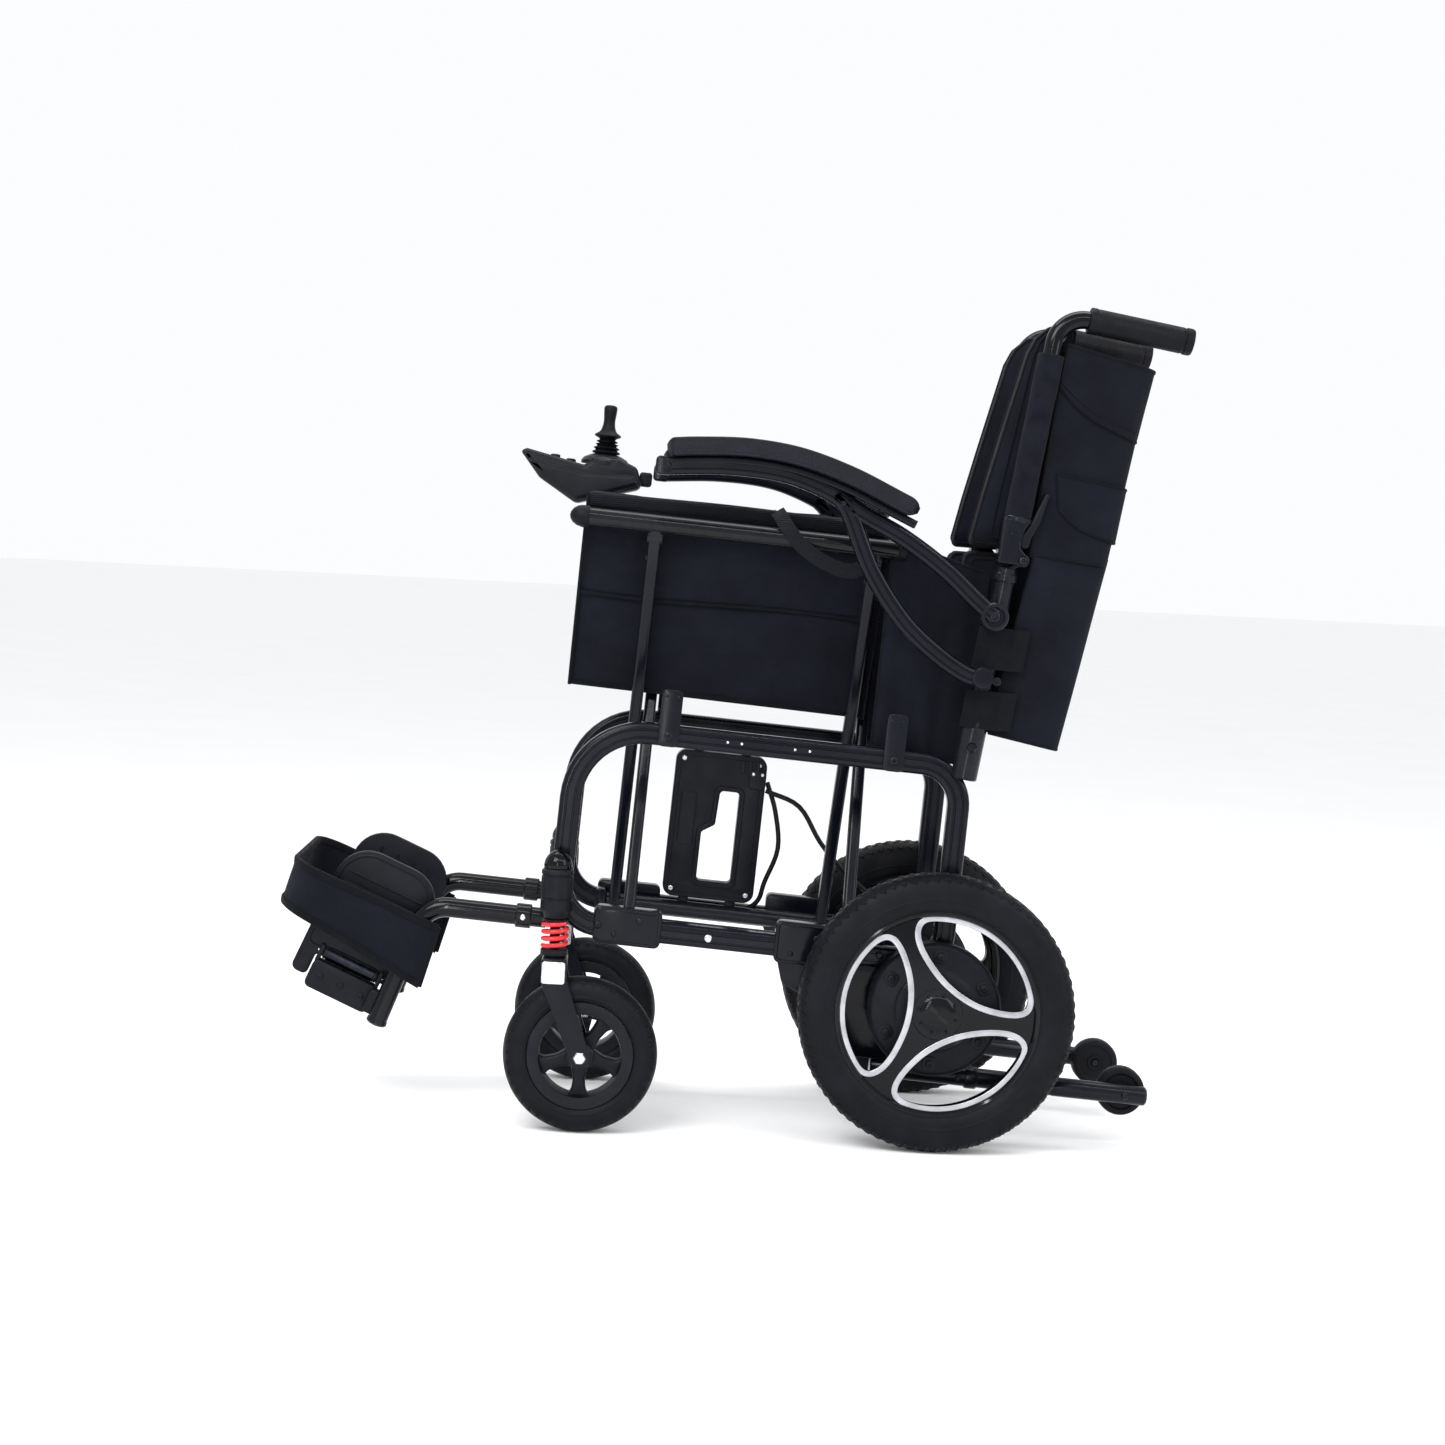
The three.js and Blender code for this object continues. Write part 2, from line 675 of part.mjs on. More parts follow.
function side(name, mirror) {
  const whole = new THREE.Group();
  whole.scale.y = mirror;
  const chassis = chassisGroup();
  chassis.add(
    named("side_frame_" + name, sideFrame(), satinBlack),
    named("motor_" + name, motor(), glossBlack),
    named("rear_tyre_" + name, rearTyre(), rubber),
    named("rear_rim_" + name, rearRim(), glossBlack),
    named("antitip_tube_" + name, antitipTube(), satinBlack),
    named("antitip_wheel_" + name, antitipWheel(), rubber),
    named("footrest_tube_" + name, footrestTube(), satinBlack),
    named("footplate_" + name, footplate(), plastic),
    named("calf_strap_" + name, calfStrap(), fabric),
    named("lower_cane_" + name, lowerCane(), satinBlack),
    named("upper_cane_" + name, upperCane(), satinBlack),
    named("grip_" + name, grip(), rubber),
    named("release_lever_" + name, releaseLever(), plastic),
    named("armrest_frame_" + name, armrestFrame(), satinBlack),
    named("arm_pad_" + name, armPad(), padding),
    named("back_upper_" + name, backUpper(), fabric),
    named("back_lower_" + name, backLower(), fabric),
  );
  const caster = new THREE.Group();
  caster.position.set(SWIVEL_X, CASTER_Y, 0);
  caster.add(
    named("caster_barrel_" + name, casterBarrel(), plastic),
    named("caster_spring_" + name, casterSpring(), springRed),
    named("caster_fork_" + name, casterFork(), satinBlack),
    named("caster_tyre_" + name, casterTyre(), rubber),
    named("caster_rim_" + name, casterRim(), plastic),
  );
  whole.add(chassis, caster);
  return { whole, chassis };
}

const chair = new THREE.Group();
const left = side("left", 1);
const right = side("right", -1);

// brace_right_foot stands on the right frame; its mirror image, one step back, stands on the left one
left.chassis.add(
  named("brace_right_foot", brace(0), satinBlack),
  named("seat_rail_left", seatRail(), satinBlack),
  named("seat_panel_left", seatPanel(), fabric),
  named("cross_bolt_front", crossBolt(BRACE_FRONT_X), steel),
  named("cross_bolt_rear", crossBolt(BRACE_REAR_X), steel),
);
right.chassis.add(
  named("brace_left_foot", brace(BRACE_STEP), satinBlack),
  named("seat_rail_right", seatRail(), satinBlack),
  named("seat_panel_right", seatPanel(), fabric),
  named("controller_housing", controllerHousing(), plastic),
  named("joystick_boot", joystickBoot(), rubber),
  named("joystick_lever", joystickLever(), rubber),
  named("controller_button_front", controllerButton(508), plastic),
  named("controller_button_rear", controllerButton(488), plastic),
  named("battery_box", batteryBox(), plastic),
  named("motor_lead", lead([[203, 205], [160, 190], [130, 150], [100, 120], [60, 90], [30, 60], [24, 30]], 92), rubber),
  named("charge_lead", lead([[202, 215], [188, 180], [180, 135], [192, 92], [197, 70], [210, 58], [232, 56]], 98.3), rubber),
);
chair.add(left.whole, right.whole);

export default chair;
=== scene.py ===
import math

import bmesh
import bpy
import numpy as np
from mathutils import Matrix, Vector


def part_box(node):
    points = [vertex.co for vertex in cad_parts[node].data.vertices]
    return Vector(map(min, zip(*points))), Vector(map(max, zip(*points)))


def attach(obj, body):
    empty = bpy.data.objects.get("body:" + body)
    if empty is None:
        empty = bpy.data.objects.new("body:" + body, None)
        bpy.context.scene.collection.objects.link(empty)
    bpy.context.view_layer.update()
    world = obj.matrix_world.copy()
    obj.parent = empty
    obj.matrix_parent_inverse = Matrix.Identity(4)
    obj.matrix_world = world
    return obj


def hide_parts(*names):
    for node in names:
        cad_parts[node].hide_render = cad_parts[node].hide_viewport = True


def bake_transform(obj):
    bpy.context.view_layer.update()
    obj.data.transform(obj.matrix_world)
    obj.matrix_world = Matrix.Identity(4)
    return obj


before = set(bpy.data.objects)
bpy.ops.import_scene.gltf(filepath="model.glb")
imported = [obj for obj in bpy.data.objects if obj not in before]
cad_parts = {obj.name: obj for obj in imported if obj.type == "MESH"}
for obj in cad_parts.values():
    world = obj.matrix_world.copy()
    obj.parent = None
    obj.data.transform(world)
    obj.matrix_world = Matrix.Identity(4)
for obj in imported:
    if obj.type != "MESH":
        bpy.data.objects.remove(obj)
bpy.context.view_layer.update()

PITCH = math.radians(3.55)
AXLE_X, AXLE_Z = -243.6, 157.6
SWIVEL_X, CASTER_Y, CASTER_TRAIL, CASTER_R = 191.6, 142.0, 35.0, 88.0
FRAME_Y, CANE_Y, ARM_Y = 112.0, 118.0, 148.0
FOOT_HINGE, FOOT_TILT = (670.0, -30.0), 19.5
FORWARD, UP = (1, 0, 0), (0, 0, 1)
SIDES = ("left", "right")
OTHER = {"left": "right", "right": "left"}


# ---------- places ----------
def chassis(points):
    """Chassis millimetres to world millimetres."""
    p = np.asarray(points, float).reshape(-1, 3)
    x = AXLE_X + p[:, 0] * math.cos(PITCH) - p[:, 2] * math.sin(PITCH)
    z = AXLE_Z + p[:, 0] * math.sin(PITCH) + p[:, 2] * math.cos(PITCH)
    return np.stack((x, p[:, 1], z), 1)


def upright(points):
    """Millimetres about the swivel axis and the chair's middle plane to world millimetres."""
    return np.asarray(points, float).reshape(-1, 3) + (SWIVEL_X, 0, 0)


def metres(point, place=chassis, side="left"):
    x, y, z = place([point])[0] / 1000
    return (x, y if side == "left" else -y, z)


# ---------- outlines ----------
def arc(centre, radius, start, end, steps=12):
    """Points of an arc in a plane, angles in degrees."""
    t = np.radians(np.linspace(start, end, steps + 1))
    return [(centre[0] + radius * math.cos(v), centre[1] + radius * math.sin(v)) for v in t]


def fillet(points, radius, closed=False, steps=7):
    """The polyline with each corner rounded; radius is one number, or one for each corner."""
    pts = [np.asarray(p, float) for p in points]
    n = len(pts)
    radii = [radius] * n if np.isscalar(radius) else list(radius)
    out = []
    for i, p in enumerate(pts):
        if not closed and i in (0, n - 1):
            out.append(p)
            continue
        u, v = pts[i - 1] - p, pts[(i + 1) % n] - p
        lu, lv = np.linalg.norm(u), np.linalg.norm(v)
        u, v = u / lu, v / lv
        half = math.acos(max(-1.0, min(1.0, float(u @ v)))) / 2
        if half > math.pi / 2 - 0.01 or radii[i] <= 0:
            out.append(p)
            continue
        reach = min(radii[i] / math.tan(half), 0.49 * lu, 0.49 * lv)
        r = reach * math.tan(half)
        middle = p + (u + v) / np.linalg.norm(u + v) * math.hypot(reach, r)
        first, last = p + u * reach - middle, p + v * reach - middle
        turn = math.pi - 2 * half
        for k in range(steps + 1):
            w = k / steps
            spoke = math.sin((1 - w) * turn) * first + math.sin(w * turn) * last
            out.append(middle + spoke / math.sin(turn))
    return np.array(out)


def smooth(points, steps=8, closed=False):
    """A Catmull-Rom curve through the points."""
    p = np.asarray(points, float)
    n = len(p)
    before, after = (p[-1:], p[:2]) if closed else (2 * p[:1] - p[1:2], 2 * p[-1:] - p[-2:-1])
    ext = np.vstack((before, p, after))
    out = []
    for i in range(n if closed else n - 1):
        a, b, c, d = ext[i:i + 4]
        for k in range(steps):
            t = k / steps
            out.append(0.5 * (2 * b + (c - a) * t + (2 * a - 5 * b + 4 * c - d) * t * t
                              + (3 * b - a - 3 * c + d) * t ** 3))
    if not closed:
        out.append(p[-1])
    return np.array(out)


def circle(radius, count=24):
    t = np.arange(count) * 2 * math.pi / count
    return np.stack((radius * np.cos(t), radius * np.sin(t)), 1)


def rounded(width, height, radius, steps=4):
    """A rounded rectangle about the origin."""
    w, h = width / 2, height / 2
    return fillet([(w, -h), (w, h), (-w, h), (-w, -h)], radius, closed=True, steps=steps)


def extrusion(width, depth, radius, grooves, cut=1.1):
    """A rounded rectangle with a groove at each place across both broad faces."""
    w, d = width / 2, depth / 2
    face = []
    for g in sorted(grooves, reverse=True):
        face += [(g + 1.3, d), (g + 0.7, d - cut), (g - 0.7, d - cut), (g - 1.3, d)]
    right = arc((w - radius, d - radius), radius, 0, 90, 4)
    left = arc((radius - w, d - radius), radius, 90, 180, 4)
    top = right + face + left
    return np.array(top + [(-x, -y) for x, y in top])


# ---------- solids: each is (vertices, faces) in millimetres ----------
def strip(rows, columns, closed_rows=False, closed_columns=True, first=0):
    """Quads of a grid of vertices, row by row."""
    faces = []
    for i in range(rows if closed_rows else rows - 1):
        for j in range(columns if closed_columns else columns - 1):
            k, m = (i + 1) % rows, (j + 1) % columns
            faces.append((first + i * columns + j, first + i * columns + m,
                          first + k * columns + m, first + k * columns + j))
    return faces


def sweep(path, section, up=(0, 1, 0), closed=False, scale=None):
    """The section carried along the path. Its second coordinate points along up."""
    path, section = np.asarray(path, float), np.asarray(section, float)
    tangent = np.roll(path, -1, 0) - np.roll(path, 1, 0) if closed else np.gradient(path, axis=0)
    tangent /= np.linalg.norm(tangent, axis=1)[:, None]
    side = np.cross(np.asarray(up, float), tangent)
    side /= np.linalg.norm(side, axis=1)[:, None]
    top = np.cross(tangent, side)
    size = np.ones(len(path)) if scale is None else np.asarray(scale, float)
    rings = path[:, None] + size[:, None, None] * (section[None, :, :1] * side[:, None]
                                                   + section[None, :, 1:] * top[:, None])
    n, m = len(path), len(section)
    faces = strip(n, m, closed_rows=closed)
    if not closed:
        faces += [tuple(range(m)), tuple(range((n - 1) * m, n * m))]
    return rings.reshape(-1, 3), faces


def lathe(profile, centre, axis=(0, 1, 0), sides=48, closed=False):
    """The profile of (along, radius) points turned about an axis through the centre."""
    axis = np.asarray(axis, float) / np.linalg.norm(axis)
    side = np.cross(axis, (0.0, 0.0, 1.0) if abs(axis[2]) < 0.9 else (1.0, 0.0, 0.0))
    side /= np.linalg.norm(side)
    other = np.cross(axis, side)
    t = np.arange(sides) * 2 * math.pi / sides
    spoke = np.cos(t)[:, None] * side + np.sin(t)[:, None] * other
    rows = [np.asarray(centre, float) + axis * p[0] + spoke * max(p[1], 0.02) for p in profile]
    faces = strip(len(rows), sides, closed_rows=closed)
    if not closed:
        faces += [tuple(range(sides)), tuple(range((len(rows) - 1) * sides, len(rows) * sides))]
    return np.vstack(rows), faces


def collar(base, axis, width, bore, radius, run=1.0, drop=0.8, sides=32):
    """A ring standing on the base point, its outer edges broken by run along it and drop across."""
    profile = [(0, bore), (0, radius - drop), (run, radius), (width - run, radius), (width, radius - drop),
               (width, bore)]
    return lathe(profile, base, axis, sides, closed=True)


def rod(start, end, radius, chamfer=0.8, sides=24):
    """A round bar with broken edges."""
    start, end = np.asarray(start, float), np.asarray(end, float)
    length = np.linalg.norm(end - start)
    profile = [(0, 0), (0, radius - chamfer), (chamfer, radius), (length - chamfer, radius),
               (length, radius - chamfer), (length, 0)]
    return lathe(profile, start, end - start, sides)


def plate(outline, low, high, holes=(), bevel=0.8):
    """An outline in the a-h plane made solid from y = low to y = high, with broken edges."""
    curve = bpy.data.curves.new("outline", "CURVE")
    curve.dimensions, curve.fill_mode = "2D", "BOTH"
    curve.extrude, curve.bevel_depth = (high - low) / 2 - bevel, bevel
    curve.bevel_resolution, curve.offset = 2, -bevel
    for loop in (outline, *holes):
        spline = curve.splines.new("POLY")
        spline.points.add(len(loop) - 1)
        for point, (a, h) in zip(spline.points, loop):
            point.co = (a, h, 0, 1)
        spline.use_cyclic_u = True
    holder = bpy.data.objects.new("outline", curve)
    mesh = holder.to_mesh()
    co = np.array([v.co for v in mesh.vertices], float)
    faces = [tuple(p.vertices) for p in mesh.polygons]
    holder.to_mesh_clear()
    bpy.data.objects.remove(holder)
    bpy.data.curves.remove(curve)
    return np.stack((co[:, 0], co[:, 2] + (low + high) / 2, co[:, 1]), 1), faces


def block(a, y, h, radius=1.5, bevel=0.8):
    """A rectangular block between the given ends on each axis, with rounded corners."""
    outline = fillet([(a[0], h[0]), (a[1], h[0]), (a[1], h[1]), (a[0], h[1])], radius, closed=True, steps=4)
    return plate(outline, y[0], y[1], bevel=bevel)


def bolt(centre, radius, axis=(0, 1, 0), height=None, sides=24):
    """A button head with a hexagonal socket, standing on the centre point."""
    t = height or radius * 0.6
    profile = [(0, 0), (0, radius), (0.35 * t, radius), (0.75 * t, 0.86 * radius), (t, 0.62 * radius),
               (t, 0.5 * radius), (0.35 * t, 0.46 * radius), (0.35 * t, 0)]
    verts, faces = lathe(profile, centre, axis, sides)
    middle = np.asarray(centre, float)
    turn = 2 * math.pi * np.arange(sides) / sides
    hexagon = math.cos(math.pi / 6) / np.cos((turn % (math.pi / 3)) - math.pi / 6)
    direction = np.asarray(axis, float) / np.linalg.norm(axis)
    for row in (5, 6):
        ring = verts[row * sides:(row + 1) * sides]
        along = ((ring - middle) @ direction)[:, None] * direction
        verts[row * sides:(row + 1) * sides] = middle + along + (ring - middle - along) * hexagon[:, None]
    return verts, faces


def nut(centre, radius, height, axis=(0, 1, 0)):
    """A hexagonal head with a domed end."""
    profile = [(0, 0), (0, radius), (0.75 * height, radius), (height, 0.84 * radius), (height, 0)]
    return lathe(profile, centre, axis, 6)


def turned(shape, angle, centre=(0, 0), axis="y"):
    """The shape turned about an axis through the centre, angle in degrees.
    It turns from a towards h about y, from a towards y about z, and from y towards h about x."""
    verts, faces = shape
    first, second = {"x": (1, 2), "y": (0, 2), "z": (0, 1)}[axis]
    c, s = math.cos(math.radians(angle)), math.sin(math.radians(angle))
    out = np.array(verts, float)
    p, q = out[:, first] - centre[0], out[:, second] - centre[1]
    out[:, first], out[:, second] = centre[0] + p * c - q * s, centre[1] + p * s + q * c
    return out, faces


def around(shape, count, centre=(0, 0), start=0.0):
    return [turned(shape, start + 360.0 * i / count, centre) for i in range(count)]


def shifted(shape, by):
    return shape[0] + np.asarray(by, float), shape[1]


def cloth(grid, thickness):
    """A thin closed sheet on a grid of points (rows, columns, 3)."""
    grid = np.asarray(grid, float)
    normal = np.cross(np.gradient(grid, axis=0), np.gradient(grid, axis=1))
    normal /= np.linalg.norm(normal, axis=2)[:, :, None]
    rows, columns = grid.shape[:2]
    front = (grid + normal * thickness / 2).reshape(-1, 3)
    back = (grid - normal * thickness / 2).reshape(-1, 3)
    n = rows * columns
    faces = strip(rows, columns, closed_columns=False)
    faces += [tuple(k + n for k in f[::-1]) for f in faces]
    index = np.arange(n).reshape(rows, columns)
    rim = [*index[0], *index[1:, -1], *index[-1, -2::-1], *index[-2:0:-1, 0]]
    for p, q in zip(rim, rim[1:] + rim[:1]):
        faces.append((p, q, q + n, p + n))
    return np.vstack((front, back)), faces


def merged(shapes):
    verts, faces, first = [], [], 0
    for v, f in shapes:
        verts.append(np.asarray(v, float))
        faces += [tuple(int(k) + first for k in face) for face in f]
        first += len(v)
    return np.vstack(verts), faces


# ---------- finishes ----------
class Paint:
    """A node material on the Principled shader, built up in layers. Lengths are metres."""

    def __init__(self, name, color, rough, metal=0.0, coat=0.0, coat_rough=0.08, sheen=0.0, specular=0.5):
        self.material = bpy.data.materials.new(name)
        self.material.use_nodes = True
        self.tree = self.material.node_tree
        self.shader = self.tree.nodes["Principled BSDF"]
        self.color, self.rough, self.normal = (*color, 1.0), rough, None
        for socket, value in (("Metallic", metal), ("Specular IOR Level", specular), ("Coat Weight", coat),
                              ("Coat Roughness", coat_rough), ("Sheen Weight", sheen),
                              ("Sheen Roughness", 0.6)):
            self.shader.inputs[socket].default_value = value
        self.shader.inputs["Base Color"].default_value = self.color
        self.shader.inputs["Roughness"].default_value = rough
        self.place = self.node("ShaderNodeTexCoord")

    def node(self, kind, inputs=(), **settings):
        made = self.tree.nodes.new(kind)
        for key, value in settings.items():
            setattr(made, key, value)
        for socket, value in dict(inputs).items():
            if isinstance(value, bpy.types.NodeSocket):
                self.tree.links.new(value, made.inputs[socket])
            else:
                made.inputs[socket].default_value = value
        return made

    def noise(self, scale, detail=3.0, stretch=(1, 1, 1), where="Object"):
        mapping = self.node("ShaderNodeMapping", {"Vector": self.place.outputs[where], "Scale": stretch})
        return self.node("ShaderNodeTexNoise", {"Vector": mapping.outputs[0], "Scale": scale,
                                                "Detail": detail}).outputs["Fac"]

    def cells(self, scale, feature="F1"):
        return self.node("ShaderNodeTexVoronoi", {"Vector": self.place.outputs["Object"], "Scale": scale},
                         feature=feature).outputs["Distance"]

    def calculate(self, operation, first, second=0.0):
        return self.node("ShaderNodeMath", {0: first, 1: second}, operation=operation).outputs[0]

    def vary(self, scale, light=1.35, dark=0.7, detail=4.0):
        """Uneven colour: lighter and darker patches of the base colour."""
        ramp = self.node("ShaderNodeValToRGB", {"Fac": self.noise(scale, detail)})
        for stop, place, share in zip(ramp.color_ramp.elements, (0.3, 0.72), (dark, light)):
            stop.position = place
            stop.color = (*(min(1.0, c * share) for c in self.color[:3]), 1.0)
        self.patches = ramp.outputs["Color"]
        self.tree.links.new(self.patches, self.shader.inputs["Base Color"])
        return self

    def wear(self, color, low=0.53, high=0.62):
        """Rubbed paler along the edges."""
        shape = self.node("ShaderNodeNewGeometry")
        edge = self.node("ShaderNodeMapRange", {"Value": shape.outputs["Pointiness"], "From Min": low,
                                                "From Max": high})
        share = self.calculate("MULTIPLY", edge.outputs[0], self.noise(140, 5))
        mix = self.node("ShaderNodeMix", {"Factor": share, "A": self.patches, "B": (*color, 1.0)},
                        data_type="RGBA")
        self.tree.links.new(mix.outputs["Result"], self.shader.inputs["Base Color"])
        return self

    def smudge(self, scale, spread):
        """Roughness that varies by the spread about its own value."""
        value = self.node("ShaderNodeMapRange",
                          {"Value": self.noise(scale, 5), "From Min": 0.3, "From Max": 0.7,
                           "To Min": max(0.02, self.rough - spread),
                           "To Max": min(1.0, self.rough + spread)})
        self.tree.links.new(value.outputs[0], self.shader.inputs["Roughness"])
        return self

    def relief(self, height, depth):
        """A bump of that depth, over those before it."""
        bump = self.node("ShaderNodeBump", {"Height": height, "Distance": depth, "Strength": 1.0})
        if self.normal is not None:
            self.tree.links.new(self.normal, bump.inputs["Normal"])
        self.normal = bump.outputs["Normal"]
        self.tree.links.new(self.normal, self.shader.inputs["Normal"])
        if self.shader.inputs["Coat Weight"].default_value > 0:
            self.tree.links.new(self.normal, self.shader.inputs["Coat Normal"])
        return self

    def waves(self, pitch, axis, where="UV"):
        """A wave of that pitch across one axis, from -1 to 1."""
        part = self.node("ShaderNodeSeparateXYZ", {0: self.place.outputs[where]}).outputs[axis]
        return self.calculate("SINE", self.calculate("MULTIPLY", part, 2 * math.pi / pitch))

    def weave(self, pitch, depth):
        """Threads that pass over and under each other, with a slub here and there."""
        cross = self.calculate("MULTIPLY", self.waves(pitch, 0), self.waves(pitch, 1))
        slub = self.calculate("MULTIPLY", self.noise(260, 2, (1, 1, 6)), 1.6)
        return self.relief(self.calculate("ADD", cross, slub), depth)


def paints():
    black = (0.0026, 0.0032, 0.0062)
    steel = (0.62, 0.63, 0.65)
    made = {
        "lacquer": Paint("satin_lacquer", black, 0.2, specular=0.17)
        .vary(30).wear((0.022, 0.023, 0.027)).smudge(22, 0.06),
        "gloss": Paint("deep_gloss", (0.0014, 0.0017, 0.003), 0.1, specular=0.18)
        .vary(18).wear((0.014, 0.0145, 0.017)).smudge(15, 0.04),
        "casting": Paint("anodised_casting", (0.003, 0.0035, 0.0062), 0.4, specular=0.14)
        .vary(40).wear((0.04, 0.042, 0.046)).smudge(60, 0.1),
        "tyre": Paint("tyre_rubber", (0.0028, 0.0031, 0.0048), 0.5, specular=0.12)
        .vary(35, 1.6, 0.7).smudge(50, 0.12),
        "rubber": Paint("soft_rubber", (0.0028, 0.003, 0.0046), 0.5, specular=0.12)
        .vary(60).smudge(40, 0.1),
        "plastic": Paint("grained_plastic", (0.0032, 0.0037, 0.0064), 0.4, specular=0.14)
        .vary(35).wear((0.016, 0.017, 0.02)).smudge(45, 0.1),
        "pebbled": Paint("pebbled_foam", (0.004, 0.0048, 0.0085), 0.48, specular=0.16)
        .vary(45).smudge(70, 0.1),
        "foam": Paint("foam_sleeve", (0.0035, 0.004, 0.008), 0.88, specular=0.1, sheen=0.02)
        .vary(70).smudge(50, 0.08),
        "nylon": Paint("woven_nylon", (0.0034, 0.0042, 0.0085), 0.78, specular=0.1, sheen=0.02)
        .vary(14, 1.5, 0.7).smudge(30, 0.1),
        "hem": Paint("bound_hem", (0.0018, 0.0021, 0.004), 0.7, specular=0.1, sheen=0.015)
        .vary(50, 1.4, 0.75).smudge(60, 0.1),
        "webbing": Paint("ribbed_webbing", (0.0032, 0.0037, 0.007), 0.66, specular=0.14, sheen=0.02)
        .vary(40).smudge(40, 0.1),
        "red": Paint("red_enamel", (0.62, 0.004, 0.012), 0.25, coat=0.2, coat_rough=0.06, specular=0.2)
        .vary(60, 1.15, 0.8).wear((0.6, 0.12, 0.12)).smudge(40, 0.06),
        "steel": Paint("zinc_steel", steel, 0.26, metal=1.0).vary(90, 1.15, 0.75).smudge(120, 0.1),
        "dark_steel": Paint("blackened_steel", (0.02, 0.022, 0.028), 0.3, metal=1.0)
        .vary(90, 1.3, 0.7).smudge(120, 0.1),
        "brushed": Paint("brushed_alloy", (0.42, 0.43, 0.45), 0.34, metal=1.0)
        .vary(50, 1.2, 0.8).smudge(80, 0.1),
        "cable": Paint("cable_jacket", (0.0024, 0.0026, 0.004), 0.36, specular=0.2)
        .vary(50).smudge(60, 0.1),
    }
    for name, scale, detail, depth in (("lacquer", 700, 2, 0.00003), ("gloss", 90, 1, 0.00004),
                                       ("casting", 2200, 4, 0.00012), ("tyre", 1800, 4, 0.00016),
                                       ("rubber", 1500, 3, 0.0001), ("red", 600, 2, 0.00003),
                                       ("dark_steel", 900, 3, 0.00002), ("cable", 900, 2, 0.00004)):
        made[name].relief(made[name].noise(scale, detail), depth)
    made["plastic"].relief(made["plastic"].cells(1500), 0.00007)
    made["pebbled"].relief(made["pebbled"].cells(520, "SMOOTH_F1"), 0.0005)
    made["pebbled"].relief(made["pebbled"].noise(2500), 0.00006)
    made["foam"].relief(made["foam"].cells(1300), 0.0003).relief(made["foam"].noise(160), 0.0006)
    made["nylon"].weave(0.0013, 0.00022).relief(made["nylon"].noise(38, 3), 0.0016)
    made["hem"].weave(0.001, 0.00016).relief(made["hem"].noise(150, 2), 0.0008)
    made["webbing"].relief(made["webbing"].waves(0.0024, 1), 0.0003).weave(0.0011, 0.00012)
    made["steel"].relief(made["steel"].noise(900, 3, (1, 1, 12)), 0.00002)
    made["brushed"].relief(made["brushed"].noise(1200, 3, (1, 12, 1)), 0.00003)
    return {name: paint.material for name, paint in made.items()}


PAINT = paints()


# ---------- pieces ----------
def box_uv(mesh):
    """Texture coordinates in metres, seen square on along each face's main axis."""
    layer = mesh.uv_layers.new(name="metres")
    normals = np.abs(np.array([p.normal for p in mesh.polygons]))
    sizes = np.array([len(p.vertices) for p in mesh.polygons])
    main = np.repeat(normals.argmax(1), sizes)
    loops = np.array([l.vertex_index for l in mesh.loops])
    co = np.array([v.co for v in mesh.vertices])[loops]
    u = np.where(main == 0, co[:, 1], co[:, 0])
    v = np.where(main == 2, co[:, 1], co[:, 2])
    layer.data.foreach_set("uv", np.stack((u, v), 1).astype(np.float32).ravel())


def dress(mesh, paint, sharp=35):
    bm = bmesh.new()
    bm.from_mesh(mesh)
    bmesh.ops.remove_doubles(bm, verts=bm.verts, dist=3e-6)
    bmesh.ops.recalc_face_normals(bm, faces=bm.faces)
    bm.to_mesh(mesh)
    bm.free()
    mesh.polygons.foreach_set("use_smooth", [True] * len(mesh.polygons))
    mesh.set_sharp_from_angle(angle=math.radians(sharp))
    box_uv(mesh)
    mesh.materials.append(PAINT[paint])


def piece(name, shapes, paint, body, side="left", place=chassis, replaces=(), sharp=35):
    """One visible piece. It rides on the body; given (a, b, start, end) instead, it stays where it is,
    unattached.
    """
    verts, faces = merged(shapes)
    if side == "right":
        verts = verts * (1, -1, 1)
    mesh = bpy.data.meshes.new(name)
    mesh.from_pydata((place(verts) / 1000).tolist(), [], faces)
    dress(mesh, paint, sharp)
    made = bpy.data.objects.new(name, mesh)
    bpy.context.scene.collection.objects.link(made)
    if isinstance(body, str):
        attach(made, body)
    else:
        first, second, start, end = body
        metres(start, place, side)
        metres(end, place, side)
        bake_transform(made)
    if replaces:
        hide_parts(*replaces)
    return made


# ---------- side frames ----------
RAIL_TOP, RAIL_LOW = 274.5, 48.6
RAIL_CLIPS = (334, 74.5)


def cane_a(h):
    """Where the leaning back cane is at height h."""
    return -10.5 - 0.09553 * (h - 290)


